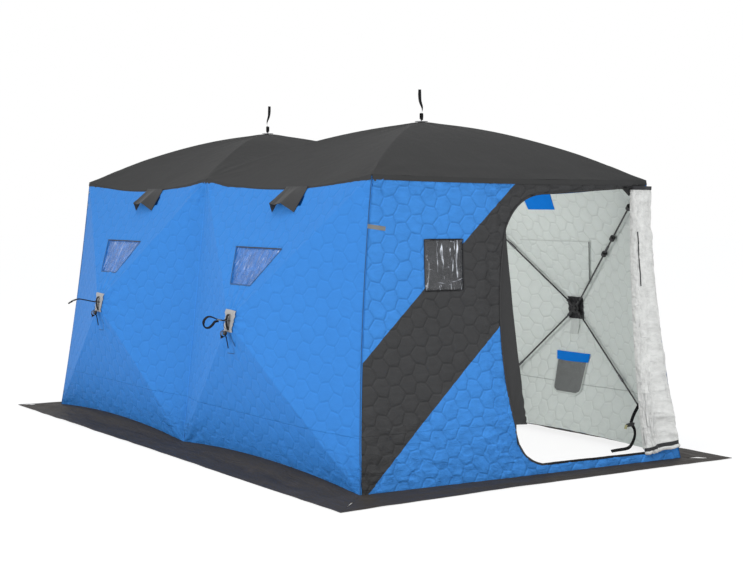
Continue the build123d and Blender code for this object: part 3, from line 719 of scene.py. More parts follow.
def end_cloth(inside=False):
    """Cloth of an end wall round its doorway, or of the door that fills it."""
    def spot(a, b):
        z = HEM + (end_top((2 * a - 1) * EAVE_Y) - HEM) * b
        return (2 * a - 1) * half_width(z), z

    bm = cloth_grid(END_COLUMNS, END_ROWS, lambda a, b: on_end(*spot(a, b)), spot)
    edge = doorway_edge()
    for vert in bm.verts:
        spot_2d = Vector((vert.co.y, vert.co.z))
        nearest = min(edge, key=lambda p: (p - spot_2d).length_squared)
        if (nearest - spot_2d).length < EDGE_REACH:
            vert.co.y, vert.co.z = nearest
    outline = [tuple(p) for p in edge]
    unwanted = []
    for face in bm.faces:
        c = face.calc_center_median()
        if inside_outline(c.y, c.z, outline) != inside:
            unwanted.append(face)
    bmesh.ops.delete(bm, geom=unwanted, context="FACES")
    return bm


# ------------------------------------------------------------------ roofs

ROOF_T = 0.008
ROOF_COLUMNS, ROOF_ROWS, CAP_CELLS = 84, 40, 6
POLE_SLOPE = 0.36                    # share of a roof pole's fall that is straight
HUB_SHARE = 0.03


def pole_height(s):
    """Outside of the cloth over a roof pole: s is 0 at the hub and 1 at the eave."""
    return EAVE + ROOF_T + (PEAK - ROOF_T - EAVE) * (1 - POLE_SLOPE * s - (1 - POLE_SLOPE) * s * s)


def roof_corners(s):
    x_in, x_out, y = ROOF_HUB_X * (1 - s), ROOF_HUB_X + (EAVE_X - ROOF_HUB_X) * s, EAVE_Y * s
    return [Vector(c) for c in ((x_in, -y), (x_out, -y), (x_out, y), (x_in, y))]


def crown(side, s):
    return (-EAVE_SAG * s, -END_SAG * s, -EAVE_SAG * s, SADDLE * s ** 4)[side]


def on_roof(side, t, s, out=0.0):
    corners = roof_corners(s)
    x, y = corners[side].lerp(corners[(side + 1) % 4], t)
    return Vector((x, y, pole_height(s) + crown(side, s) * 4 * t * (1 - t) + out))


def roof_ripple(x, y):
    spot = Vector((x, y))
    height = 0.005 * wavy(x, y, 2.2, 1.5) + fan(spot, Vector((ROOF_HUB_X, 0)), 14, 0.003, 0.3)
    for anchor in roof_corners(1):
        height += fan(spot, anchor, 17, 0.004, 0.3)
    by_end = near_to(EAVE_X - x, 0.16)
    return height + 0.007 * by_end * noise.noise(Vector((x * 18, y * 6, 1.0)))


def roof_cloth():
    """Four gores from the eaves up to the cap over the hub."""
    def gore(side):
        def place(a, b):
            return on_roof(side, a, 1 - (1 - HUB_SHARE) * b)

        return cloth_grid(ROOF_COLUMNS, ROOF_ROWS, place, lambda a, b: tuple(place(a, b).xy))

    gores = [gore(side) for side in range(4)]
    corners = roof_corners(HUB_SHARE)

    def cap(a, b):
        x, y = corners[0].lerp(corners[1], a).lerp(corners[3].lerp(corners[2], a), b)
        return Vector((x, y, pole_height(HUB_SHARE)))

    gores.append(cloth_grid(CAP_CELLS, CAP_CELLS, cap, lambda a, b: tuple(cap(a, b).xy)))
    return merged(gores)


# ------------------------------------------------------------------ skirts

SKIRT_T = 0.003
SKIRT_NEAR = Vector((2.455, -1.495))     # outer corner beside the front of the door end
SKIRT_FAR = Vector((2.305, 1.470))       # outer corner beside the door's hinge
SKIRT_BOW = 0.030
SKIRT_TURN = 0.12                    # share of its width over which it turns flat
GROUND = 0.0005


def hem_height(x):
    share = abs(x) / FOOT_X
    return HEM + HEM_RISE * 4 * share * (1 - share)


def skirt_folds(x, y, b):
    """Lift of a skirt off the ground, b from the wall to its free edge."""
    along = noise.noise(Vector((x * 1.3, y * 9.0, 5.0)))
    along += 0.5 * noise.noise(Vector((x * 5.0, y * 21.0, 2.0)))
    cross = noise.noise(Vector((x * 7.0, y * 2.5, 9.0)))
    return max(0.010 * along + 0.006 * cross + 0.003, 0) * (0.35 + 0.65 * sin(pi * b))


def skirt_height(x, y, b, rise):
    """Height of a skirt: it drops from the hem, then lies on the ground in low folds."""
    return GROUND + SKIRT_T + rise + skirt_folds(x, y, b) * (1 - near_to(b, SKIRT_TURN))


def long_skirt():
    """The front skirt: sewn to the hem of both bays, then out over the ground."""
    inner_a, inner_b = Vector((-FOOT_X, -FOOT_Y)), Vector((FOOT_X, -FOOT_Y))
    outer_a, outer_b = -SKIRT_FAR, SKIRT_NEAR

    def place(a, b):
        inner, outer = inner_a.lerp(inner_b, a), outer_a.lerp(outer_b, a)
        x, y = inner.lerp(outer, b)
        return Vector((x, y, skirt_height(x, y, b, hem_height(inner.x) * near_to(b, 0.28))))

    return cloth_grid(230, 30, place, lambda a, b: (a * 2 * FOOT_X, b * 0.31))


def end_skirt():
    inner_a, inner_b = Vector((FOOT_X, -FOOT_Y)), Vector((FOOT_X, FOOT_Y))

    def place(a, b):
        inner, outer = inner_a.lerp(inner_b, a), SKIRT_NEAR.lerp(SKIRT_FAR, a)
        outer.x -= SKIRT_BOW * 4 * a * (1 - a)
        x, y = inner.lerp(outer, b)
        return Vector((x, y, skirt_height(y, x, b, HEM * near_to(b, 0.3))))

    return cloth_grid(150, 24, place, lambda a, b: (a * 2 * FOOT_Y, b * 0.30))


# ------------------------------------------------------------------ ribbons, cords and webbing

def curve_points(points, steps):
    """A smooth line through given points."""
    points = [Vector(p) for p in points]
    before, after = 2 * points[0] - points[1], 2 * points[-1] - points[-2]
    padded = [before, *points, after]
    line = []
    for i in range(len(points) - 1):
        p0, p1, p2, p3 = padded[i:i + 4]
        for k in range(steps):
            t = k / steps
            bend = (2 * p0 - 5 * p1 + 4 * p2 - p3) * t * t + (3 * p1 - p0 - 3 * p2 + p3) * t ** 3
            line.append(p1 + ((p2 - p0) * t + bend) / 2)
    return line + [points[-1]]


def at_share(line, a):
    """Spot on a line by share of its points, and its direction there."""
    last = len(line) - 1
    i = min(int(a * last), last - 1)
    spot = line[i].lerp(line[i + 1], a * last - i)
    low, high = line[max(i - 1, 0)], line[min(i + 2, last)]
    return spot, (high - low).normalized()


def line_length(line):
    return sum((b - a).length for a, b in zip(line, line[1:]))


def ribbon(line, width, thickness, facing):
    """A band along a line; facing is the way its face looks, or gives it for a share of its length."""
    length = line_length(line)

    def place(a, b):
        spot, heading = at_share(line, a)
        face = facing(a) if callable(facing) else Vector(facing)
        side = face.cross(heading).normalized()
        return spot + side * width * (b - 0.5)

    bm = cloth_grid(len(line) - 1, 2, place, lambda a, b: (a * length, b * width))
    bmesh.ops.solidify(bm, geom=bm.verts[:] + bm.edges[:] + bm.faces[:], thickness=thickness)
    return bm


def tube(line, radius, sides=8):
    """A round cord along a line, closed at both ends."""
    length = line_length(line)
    level = Vector((0.21, 0.13, 0.97))

    def place(a, b):
        spot, heading = at_share(line, a)
        side = heading.cross(level).normalized()
        up = side.cross(heading)
        return spot + (side * cos(2 * pi * b) + up * sin(2 * pi * b)) * radius

    bm = cloth_grid(len(line) - 1, sides, place, lambda a, b: (a * length, b * 2 * pi * radius))
    bmesh.ops.remove_doubles(bm, verts=bm.verts, dist=radius / 50)
    bmesh.ops.holes_fill(bm, edges=[e for e in bm.edges if e.is_boundary], sides=sides)
    bmesh.ops.recalc_face_normals(bm, faces=bm.faces)
    return bm


def eased(bm, offset):
    bmesh.ops.bevel(bm, geom=bm.edges[:], offset=offset, segments=2, profile=0.5, affect="EDGES", material=-1)


def plate(corners, normal, thickness, edge=0.0):
    """A flat piece between corners, its edges eased."""
    bm = bmesh.new()
    bm.loops.layers.uv.new("cloth")
    face = bm.faces.new([bm.verts.new(c) for c in corners])
    made = bmesh.ops.extrude_face_region(bm, geom=[face])
    top = [v for v in made["geom"] if isinstance(v, bmesh.types.BMVert)]
    bmesh.ops.translate(bm, verts=top, vec=Vector(normal).normalized() * thickness)
    bmesh.ops.recalc_face_normals(bm, faces=bm.faces)
    if edge:
        eased(bm, edge)
    return bm


LINE_STEPS = 12


def skin_line(skin, corners, out):
    """A line on a wall through corners, straight between them; skin(a, z, out) gives its spots."""
    line = []
    for a, b in zip(corners, corners[1:]):
        line += [skin(*Vector(a).lerp(Vector(b), i / LINE_STEPS), out) for i in range(LINE_STEPS)]
    return line + [skin(*corners[-1], out)]


def end_skin(y, z, out):
    """A spot that keeps its distance from the folds of an end wall."""
    return on_end(y, z, out + end_ripple(y, z))


# ------------------------------------------------------------------ tied back door

# (height, y) of the door's fold at the corner, and of where it starts beside the doorway
DOOR_CORNER = ((0.07, 1.150), (0.136, 1.142), (0.308, 1.126), (0.493, 1.118), (0.709, 1.104), (0.803, 1.086),
               (0.989, 1.062), (1.143, 1.060), (1.391, 1.054), (1.453, 1.036), (1.514, 1.040), (1.69, 1.046))
DOOR_START = ((0.07, 0.946), (0.23, 0.926), (0.382, 0.915), (0.505, 0.905), (0.8, 0.908), (1.1, 0.908),
              (1.4, 0.900), (1.69, 0.894))
DOOR_WRAP = 0.27                     # how far it reaches along the back wall
DOOR_TOP, DOOR_FOOT = 1.684, 0.082
DOOR_FOOT_RISE = 0.030               # its foot is tied up higher at the corner
DOOR_COLUMNS, DOOR_ROWS, DOOR_LENGTH = 90, 190, 1.04


def between(table, z):
    """Value at a height from a table of (height, value)."""
    for (za, a), (zb, b) in zip(table, table[1:]):
        if z <= zb:
            t = min(max((z - za) / (zb - za), 0), 1)
            return a + (b - a) * t * t * (3 - 2 * t)
    return table[-1][1]


def back_of_wall(x, z):
    """Outer face of the back wall on the door's side."""
    spot = on_wall(-1, -x, z)
    return -spot.y


def door_plan(z):
    """Line of the folded door in plan: over the post, round the corner, along the wall and back."""
    x, start = end_x(z), between(DOOR_START, z)
    lap = max(start - 0.008, DOOR_HINGE + 0.008)
    corner = max(between(DOOR_CORNER, z) + 0.006, half_width(z) + 0.012)
    wall = [back_of_wall(x - reach, z) for reach in (0.05, 0.14, DOOR_WRAP)]
    plan = (
        (x - 0.020, DOOR_HINGE - 0.009), (x + 0.012, DOOR_HINGE - 0.006), (x + 0.024, lap),
        (x + 0.031, lap + 0.022), (x + 0.028, lap + 0.066), (x + 0.018, corner - 0.030), (x, corner),
        (x - 0.05, wall[0] + 0.030), (x - 0.14, wall[1] + 0.031), (x - DOOR_WRAP, wall[2] + 0.030),
        (x - DOOR_WRAP - 0.012, wall[2] + 0.022), (x - DOOR_WRAP, wall[2] + 0.014),
        (x - 0.14, wall[1] + 0.016), (x - 0.05, wall[0] + 0.016),
    )
    return curve_points([(*spot, z) for spot in plan], 6)


def door_height(a, b):
    """Height on the open door by share across and up."""
    foot = DOOR_FOOT + DOOR_FOOT_RISE * min(a / 0.5, 1.0)
    return foot + (DOOR_TOP - foot) * b


def door_fold(a, z):
    """How far a spot of the open door stands out: folds that sag from its ties."""
    slant = z + 0.25 * a
    level = noise.noise(Vector((a * 3.0, slant * 17, 3.0)))
    fine = noise.noise(Vector((a * 9, slant * 41, 8.0)))
    heavy = noise.noise(Vector((a * 7 - z * 2.4, z * 5.5 + a * 4, 5.0)))
    low = near_to(z - 0.3, 0.5)
    held = min(a / 0.05, 1.0) * near_to(a - 0.24, 0.26)
    return held * (0.004 + 0.006 * level + 0.0045 * fine + 0.012 * heavy * (0.4 + low))


def door_face(a, z, out):
    """A spot on the open door, out from the cloth."""
    spot, heading = at_share(door_plan(z), a)
    return spot + heading.cross(Vector((0, 0, 1))) * (out + door_fold(a, z))


def door_cloth():
    """The door with its liner outwards, folded back on itself."""
    def place(a, b):
        z = door_height(a, b)
        return door_face(a, z, 0.0)

    return cloth_grid(DOOR_COLUMNS, DOOR_ROWS, place, lambda a, b: (a * DOOR_LENGTH, door_height(a, b)))


# ------------------------------------------------------------------ sewn-on layers

COVER_T = 0.005
BACKING = 0.150
POCKET_ROUND = 0.040
WALL_SKIN = 0.0045                   # clear of the quilting, outside a wall
INSIDE = -(WALL_T + 0.0075)          # and inside it, with room for a layer


def grow(corners, amount):
    """Corners moved away from their middle."""
    middle = sum((Vector(c) for c in corners), Vector((0, 0))) / len(corners)
    grown = []
    for corner in corners:
        grown.append(tuple(c + copysign(amount, c - m) for c, m in zip(corner, middle)))
    return grown


def crinkled(depth):
    """Depth of a creased film behind the face of the wall."""
    def out(a, b):
        tall = noise.noise(Vector((a * 13 + b * 2, b * 2.5, 1.0)))
        fine = noise.noise(Vector((a * 31, b * 9, 4.0)))
        edge = min(4 * a * (1 - a), 4 * b * (1 - b), 0.4) / 0.4
        return depth + (0.0045 * tall + 0.0015 * fine) * edge

    return out


HOOD_TOP = 1.668
# (along from the vent, out, height) round the mouth of a hood, and along where it is sewn on
HOOD_MOUTH = ((-0.223, 0.0, 1.514), (-0.214, 0.046, 1.564), (-0.162, 0.039, 1.556), (-0.080, 0.050, 1.566),
              (0.037, 0.0, 1.517))
HOOD_SEAM = (-0.158, -0.146, -0.105, -0.020, 0.086)


def hood_cloth(bay, x):
    """A channel of cloth, flat where it is sewn on under the eave and open at its lower end."""
    def place(a, b):
        drop = 1 - b
        k = min(int(a * 4), 3)
        t = a * 4 - k
        u, out, z = Vector(HOOD_MOUTH[k]).lerp(Vector(HOOD_MOUTH[k + 1]), t)
        seam = HOOD_SEAM[k] + (HOOD_SEAM[k + 1] - HOOD_SEAM[k]) * t
        crease = 0.004 * noise.noise(Vector((a * 9, b * 1.5, bay)))
        crease += 0.002 * noise.noise(Vector((a * 22, b * 4, 2.0)))
        along = x + seam + (u - seam) * drop
        height = HOOD_TOP + (z - HOOD_TOP) * drop
        return wall_skin(bay, along, height, 0.006 + (out + crease) * drop ** 0.85)

    return cloth_grid(32, 22, place, lambda a, b: (a * 0.27, b * 0.16))


STORM_EDGE = ((0.30, 0.012), (1.45, -0.072), (1.60, 0.010))      # (height, y) of its free edge
STORM_LOW, STORM_TALL, STORM_SEAM = 0.300, 1.300, 0.030


def storm_strip(columns, rows):
    """The strip behind the zip side of a doorway; its free edge hangs straight."""
    def spot(a, b):
        z = STORM_LOW + STORM_TALL * b
        if z < DOOR_HIGH:
            edge = doorway_side(z)
        else:
            edge = DOOR_LOCK + 0.13 * ((z - DOOR_HIGH) / 0.16) ** 1.6
        (za, ya), (zb, yb) = STORM_EDGE[:2] if z < STORM_EDGE[1][0] else STORM_EDGE[1:]
        free = max(ya + (yb - ya) * (z - za) / (zb - za), edge + 0.006)
        return edge - STORM_SEAM + (free - edge + STORM_SEAM) * a, z

    def place(a, b):
        y, z = spot(a, b)
        wave = 0.004 * noise.noise(Vector((y * 9, z * 6, 2.0)))
        return end_skin(y, z, INSIDE - 0.001 + wave)

    return cloth_grid(columns, rows, place, spot)


# (x, z) from a hub: corners of its patch, the box stitched under it, and the line of painted shade along a
# fold under it
HUB_PATCH = ((-0.070, -0.066), (0.030, -0.068), (0.066, 0.062), (-0.065, 0.068))
BOX_MARK = ((-0.085, -0.198), (0.0, -0.196), (0.012, -0.160))
FOLD_SHADE_MARK = ((0.008, -0.080), (0.018, -0.115), (0.036, -0.150))

# (across, out, up) from a hub's middle: the strap's two loops, the band round them, the cord and its knot
OUTER_LOOP = ((-0.004, 0.002, 0.040), (-0.004, 0.012, 0.030), (-0.004, 0.018, 0), (-0.004, 0.014, -0.030),
              (-0.004, 0.006, -0.052))
INNER_LOOP = ((-0.012, 0.008, 0.020), (-0.018, 0.024, 0.004), (-0.016, 0.030, -0.024),
              (-0.010, 0.022, -0.046))
BAND = ((-0.016, 0.030, -0.052), (-0.030, 0.040, -0.066), (-0.026, 0.044, -0.090), (-0.008, 0.036, -0.094),
        (0.004, 0.026, -0.080), (0.0, 0.020, -0.060))
CORD = ((-0.010, 0.022, -0.070), (-0.020, 0.008, -0.105), (-0.016, 0.004, -0.135), (-0.006, 0.003, -0.162))
KNOT = ((-0.012, 0.036, -0.056), (-0.022, 0.044, -0.070), (-0.014, 0.044, -0.084))
BALL = (-0.006, 0.026, -0.072)
BALL_R = 0.0155
STRAP_WIDE = 0.015

# (out, up) along the free end of the strap: curled on the +X bays and hanging on the others
CURLED = ((0.020, 0.004), (0.045, 0.006), (0.075, 0.013), (0.105, 0.026), (0.132, 0.028), (0.152, 0.012),
          (0.158, -0.012), (0.148, -0.033), (0.126, -0.036), (0.104, -0.020), (0.088, -0.002), (0.066, 0.002))
HANGING = ((0.020, 0.004), (0.055, 0.010), (0.100, 0.020), (0.140, 0.026), (0.178, 0.018), (0.214, -0.004))
SEWN_CURLED = (0.048, 0.062, 0.078)  # how far out the strap is sewn back on itself
SEWN_HANGING = (0.165, 0.180, 0.196)
UPWARD = Vector((0.35, 0, 0.94))


def from_hub(bay, spots, steps):
    """A smooth line through spots given by how far across, out and up they are from a hub's middle."""
    face = on_wall(bay, bay * HUB_X, HUB_Z, WALL_SKIN + 0.003)
    return curve_points([face + Vector((across, -out, up)) for across, out, up in spots], steps)


def wall_straps(bay):
    """The strap at a hub, its loop on the patch, and the cord that hangs from it."""
    pull = [(-0.14 * out, out, up) for out, up in (CURLED if bay > 0 else HANGING)]
    end = (0.6, -0.1, 0.75) if bay > 0 else (0.3, 0, 0.9)
    return [ribbon(from_hub(bay, OUTER_LOOP, 5), 0.026, 0.0030, (0, -1, 0.1)),
            ribbon(from_hub(bay, INNER_LOOP, 5), 0.018, 0.0026, (-0.4, -1, 0.2)),
            ribbon(from_hub(bay, pull, 6), STRAP_WIDE, 0.0026, lambda a: UPWARD.lerp(Vector(end), a)),
            ribbon(from_hub(bay, BAND, 5), 0.020, 0.0034, (-0.6, -0.6, 0.5)),
            tube(from_hub(bay, CORD, 6), 0.0032)]


def strap_ball(bay):
    """Knob the strap is drawn through, with the slot it runs in."""
    middle = on_wall(bay, bay * HUB_X, HUB_Z, WALL_SKIN + 0.003) + Vector((BALL[0], -BALL[1], BALL[2]))
    bm = bmesh.new()
    bm.loops.layers.uv.new("cloth")
    bmesh.ops.create_uvsphere(bm, u_segments=20, v_segments=12, radius=BALL_R)
    for vert in bm.verts:
        waist = 1 - 0.18 * near_to(vert.co.z, 0.004)
        vert.co = Vector((vert.co.x * waist, vert.co.y * waist, vert.co.z * 0.9)) + middle
    return bm


def strap_ties(bay):
    """Pale flecked thread where the strap is sewn back on itself and where the cord is tied."""
    table, sewn = (CURLED, SEWN_CURLED) if bay > 0 else (HANGING, SEWN_HANGING)
    line = [(-0.14 * out, out, between(table, out)) for out in sewn]
    return joined([ribbon(from_hub(bay, line, 4), STRAP_WIDE, 0.0040, UPWARD),
                   tube(from_hub(bay, KNOT, 4), 0.0030)])


# (x, y, z) from the foot of a roof strap
ROOF_LOOP = ((0.004, 0, 0.014), (0.007, 0, 0.034), (0.006, 0, 0.050), (0, 0, 0.056), (-0.006, 0, 0.048),
             (-0.005, 0, 0.020))
ROOF_WEBBING = ((0.0, 0, 0.030), (0.002, 0.002, 0.060), (0.003, 0.004, 0.090), (-0.008, -0.004, 0.130),
                (-0.012, -0.006, 0.165), (-0.010, -0.008, 0.205))


def roof_strap():
    """The upright strap on a roof hub: a pin, a sewn loop, and twisted webbing."""
    foot = Vector((ROOF_HUB_X, 0, pole_height(HUB_SHARE) + 0.003))
    loop = curve_points([foot + Vector(p) for p in ROOF_LOOP], 5)
    line = curve_points([foot + Vector(p) for p in ROOF_WEBBING], 8)
    return [tube([foot, foot + Vector((0, 0, 0.018))], 0.004), ribbon(loop, 0.020, 0.0025, (1, 0, 0.1)),
            ribbon(line, 0.020, 0.0025, lambda a: Vector((cos(2.6 * a + 0.4), sin(2.6 * a + 0.4), 0.05)))]


TAPE = ((-1.043, 1.447), (-0.926, 1.432))
SNAPS = ((-0.991, 1.697), (-0.182, 1.696), (0.93, 1.700))
SNAP_R, SNAP_T = 0.007, 0.005


def snap(y, z):
    """A round headed snap on an end wall."""
    bm = bmesh.new()
    bm.loops.layers.uv.new("cloth")
    bmesh.ops.create_cone(bm, segments=16, radius1=SNAP_R, radius2=SNAP_R * 0.7, depth=SNAP_T, cap_ends=True)
    eased(bm, SNAP_T * 0.2)
    turn = Vector((0, 0, 1)).rotation_difference(END_OUT).to_matrix().to_4x4()
    place = Matrix.Translation(on_end(y, z, WALL_SKIN + 0.001))
    bmesh.ops.transform(bm, matrix=place @ turn, verts=bm.verts)
    return bm


# ------------------------------------------------------------------ what is sewn on the open door

def door_band(first, last, low, high, rise):
    """A band across the visible fold of the door, a share across it and at heights."""
    def place(a, b):
        share = first + (last - first) * a
        return door_face(share, low + (high - low) * b + rise * a, 0.0045)

    bm = cloth_grid(50, 4, place, lambda a, b: (a * 0.35, b * (high - low)))
    doubled(bm, 0.003)
    return bm


def door_roll():
    """The foot of the door, rolled up under its band."""
    last = 40
    line = []
    for i in range(last + 1):
        height = 0.062 + 0.030 * i / last + 0.002 * sin(i * 0.9)
        line.append(door_face(0.055 + 0.36 * i / last, height, -0.004))
    return tube(line, 0.0125, 12)


def door_zip():
    """The zip of the window cover, showing on the fold."""
    last = 14
    line = [door_face(0.168 + 0.036 * i / last, 1.412 - 0.33 * i / last, 0.005) for i in range(last + 1)]
    return ribbon(line, 0.009, 0.003, END_OUT)


# ------------------------------------------------------------------ ties in the corner behind the door

# (out, y, z), out from where each piece hangs beside the end wall
GUSSET = ((0, 0.815, 1.690), (0, 0.912, 1.690), (0, 0.893, 1.628))
STRAP = ((0, 0.905, 1.655), (0.004, 0.908, 1.625), (0, 0.903, 1.600), (0.002, 0.900, 1.570))
TIE_UPPER = ((0.02, 0.952, 0.400), (0.012, 0.935, 0.350), (0, 0.905, 0.290), (-0.004, 0.884, 0.236))
TIE_LOWER = ((-0.004, 0.888, 0.226), (0.004, 0.906, 0.196), (0.008, 0.905, 0.150), (0.006, 0.880, 0.100),
             (0, 0.850, 0.080), (-0.01, 0.780, 0.074), (-0.014, 0.735, 0.070))
BUCKLE = ((0, 0.880, 0.240), (0, 0.905, 0.236), (0, 0.900, 0.214), (0, 0.842, 0.212), (0, 0.834, 0.232))
TAG = ((0, 0.826, 0.228), (0, 0.846, 0.226), (0, 0.838, 0.200), (0, 0.818, 0.204))
STRAP_X, STRAP_STITCH_X = end_x(1.62) - 0.020, end_x(1.62) - 0.015
GUSSET_X = end_x(1.66) - 0.024
TIE_X, BUCKLE_X, TAG_X = end_x(0.3) - 0.075, end_x(0.3) - 0.072, end_x(0.3) - 0.070
TIE_OUT = Vector((1, -0.3, 0))


def beside(x, spots):
    return [Vector((x + out, y, z)) for out, y, z in spots]


def gusset():
    """Black corner piece under the eave at the hinge side of the doorway."""
    return plate(beside(GUSSET_X, GUSSET), END_OUT, 0.003)


def corner_strap():
    return ribbon(curve_points(beside(STRAP_X, STRAP), 6), 0.013, 0.003, END_OUT)


def corner_strap_stitch():
    spots = [(0, 0.902 + 0.004 * sin(i), 1.645 - 0.0052 * i) for i in range(13)]
    return tube(beside(STRAP_STITCH_X, spots), 0.0022, 6)


def tie_down():
    """Webbing that hangs from the foot of a pole, its tail laid over the hem."""
    upper, lower = (curve_points(beside(TIE_X, spots), 6) for spots in (TIE_UPPER, TIE_LOWER))
    return joined([ribbon(upper, 0.020, 0.003, (1, -0.3, 0.1)),
                   ribbon(lower, 0.018, 0.003, lambda a: Vector((1, -0.3 + 0.4 * a, 0.9 * a)))])


def tie_buckle():
    return plate(beside(BUCKLE_X, BUCKLE), TIE_OUT, 0.008, 0.002)


def tie_tag():
    return plate(beside(TAG_X, TAG), TIE_OUT, 0.006, 0.0015)


# ------------------------------------------------------------------ finishes

STRIPE_HIGH = ((-1.136, 0.675), (-0.007, 1.702))     # upper edge of the dark stripe, as (y, z)
STRIPE_LOW = ((-1.142, -0.001), (-0.152, 0.871))     # and its lower edge
HEADER_LOW = 1.5                                     # over the doorway all is dark above this
DUST = (0.085, 0.068, 0.055, 1.0)
GLINT = (0.80, 0.84, 0.92, 1.0)
NET_PITCH, RIB_PITCH, TOOTH_PITCH = 0.004, 0.0022, 0.003


def scaled(colour, *shares):
    """A colour scaled by one share, or by one for each channel."""
    return [c * share for c, share in zip(colour, shares * 3)]


def slant(line, y):
    (ya, za), (yb, zb) = line
    return (y - ya) * ((zb - za) / (yb - ya)) + za


def striped(blue, black):
    """Colour of the end walls: a dark band that climbs from the corner to over the doorway."""
    def colour(finish, y, z):
        dark = (slant(STRIPE_HIGH, y) > z) * (slant(STRIPE_LOW, y).least(HEADER_LOW) < z)
        return finish.blend(dark, rgba(blue), rgba(black))

    return colour


def end_blue(name, looks):
    # The end walls take a lighter copy of the wall blue than the long walls do: painted light on the end
    # walls.
    blue = scaled(looks.blue, 1.6, 0.96, 0.92)
    return quilted(name, blue, looks, striped(blue, looks.black), seams=(0.31,), crumple=3.4,
                   groove_painted_shade=0.09, relief_painted_shading=0.13, crease_painted_shading=0.9)


def door_liner(name, looks):
    """Liner of the open door, creased from being rolled and tied."""
    finish = Finish(name)
    places = finish.cloth_places()
    _, height_up, _ = finish.axes(places)
    level = finish.noise(finish.stretched(places, (6, 21, 1), (0, 0, 0.4)), 1.0, 2.5, 0.5, 0.3)
    slanted = finish.noise(finish.stretched(places, (15, 6, 1), (0, 0, -0.8)), 1.0, 2.5, 0.5, 0.3)
    crinkle = finish.noise(finish.stretched(places, (26, 62, 1), (0, 0, 0.35)), 1.0, 3.0, 0.6, 0.6)
    low = finish.ramp(height_up, 0.9, 0.25)
    height = level * 0.026 + slanted * (low * 0.034 + 0.014) + crinkle * 0.0045
    # Painted light and shade on the creases: the colour follows the same crease noises as the height.
    shade = 0.74 + finish.ramp(level, 0.30, 0.66) * 0.10 + finish.ramp(slanted, 0.34, 0.62) * 0.07
    shade = shade + finish.ramp(crinkle, 0.32, 0.62) * 0.10
    finish.set(Base_Color=finish.tint(looks.door_liner, shade), Roughness=0.7, Normal=finish.bump(height))
    finish.set(Specular_IOR_Level=0.15)
    return finish.material


def roof_black(name, looks):
    finish = Finish(name)
    places = finish.places()
    cloud = finish.noise(places, 2.4, 4.0, 0.6)
    folds = finish.noise(finish.stretched(places, (4, 7, 4)), 1.0, 5.0, 0.6, 1.2)
    fine = finish.noise(places, 60.0, 3.0, 0.6)
    height = folds * 0.006 + fine * 0.0006 + weave_height(finish, places)
    shade = 0.86 + cloud * 0.22 + fine * 0.06
    finish.set(Base_Color=finish.tint(looks.roof, shade), Roughness=0.75, Normal=finish.bump(height))
    finish.set(Specular_IOR_Level=0.06)
    return finish.material


def skirt_grey(name, looks):
    finish = Finish(name)
    places = finish.places()
    cloud = finish.noise(places, 3.0, 4.0, 0.6)
    folds = finish.noise(finish.stretched(places, (6, 22, 14)), 1.0, 5.0, 0.62, 1.0)
    fine = finish.noise(places, 90.0, 3.0, 0.6)
    height = folds * 0.006 + fine * 0.0004 + weave_height(finish, places)
    dusty = finish.ramp(finish.noise(places, 8.0, 5.0, 0.65), 0.5, 0.75)
    base = finish.blend(dusty * 0.35, rgba(looks.skirt), DUST)
    finish.set(Base_Color=finish.tint(base, 0.82 + cloud * 0.3), Roughness=0.6)
    finish.set(Normal=finish.bump(height), Specular_IOR_Level=0.08)
    return finish.material


def film(name, tint, glints):
    """Clear vinyl, creased, over a closed cover: it shows as a dark sheen with pale glints."""
    finish = Finish(name)
    places = finish.cloth_places()
    long_folds = finish.noise(finish.stretched(places, (34, 5.5, 1), (0, 0, 0.16)), 1.0, 4.0, 0.6, 1.6)
    crossed = finish.noise(finish.stretched(places, (9, 40, 1), (0, 0, 0.7)), 1.0, 4.0, 0.62, 1.0)
    glint = finish.ramp(long_folds, 0.56, 0.66) * 0.8 + finish.ramp(crossed, 0.62, 0.72) * 0.5
    patches = finish.ramp(finish.noise(places, 13.0, 3.0, 0.6), 0.42, 0.62)
    glint = (glint * (0.35 + patches * 0.65) * glints).clamped()
    base = finish.blend(patches * 0.6, rgba(tint), rgba([c * 1.5 + 0.01 for c in tint]))
    base = finish.blend(glint, base, GLINT)
    height = long_folds * 0.012 + crossed * 0.006
    finish.set(Base_Color=base, Roughness=0.12, Normal=finish.bump(height), Coat_Weight=0.3)
    finish.set(Alpha=0.92 + glint * 0.08, Specular_IOR_Level=0.4, Coat_Roughness=0.05)
    return finish.material


def mesh_grey(name, looks):
    finish = Finish(name)
    places = finish.cloth_places()
    x, y, _ = finish.axes(finish.stretched(places, (2 * pi / NET_PITCH,) * 3, (0, 0, 0.785)))
    open_spots = finish.ramp(x.sine() * y.sine(), 0.30, 0.55)
    cloud = finish.noise(places, 20.0, 3.0, 0.6)
    shade = 0.8 + cloud * 0.4
    finish.set(Base_Color=finish.tint(looks.mesh, shade), Roughness=0.6, Alpha=1 - open_spots * 0.75)
    return finish.material


def webbing(name, colour):
    """Woven narrow strap: ribs across, a herringbone along, and pale flecks where it has rubbed."""
    finish = Finish(name)
    places = finish.cloth_places()
    along, across, _ = finish.axes(finish.stretched(places, (2 * pi / RIB_PITCH,) * 3))
    rib = (along + abs(across.sine()) * 1.6).sine()
    wear = finish.noise(finish.places(), 70.0, 4.0, 0.6)
    shade = 0.8 + rib * 0.12 + finish.ramp(wear, 0.55, 0.75) * 0.9
    finish.set(Base_Color=finish.tint(colour, shade), Roughness=0.62, Normal=finish.bump(rib * 0.0002))
    finish.set(Specular_IOR_Level=0.15)
    return finish.material


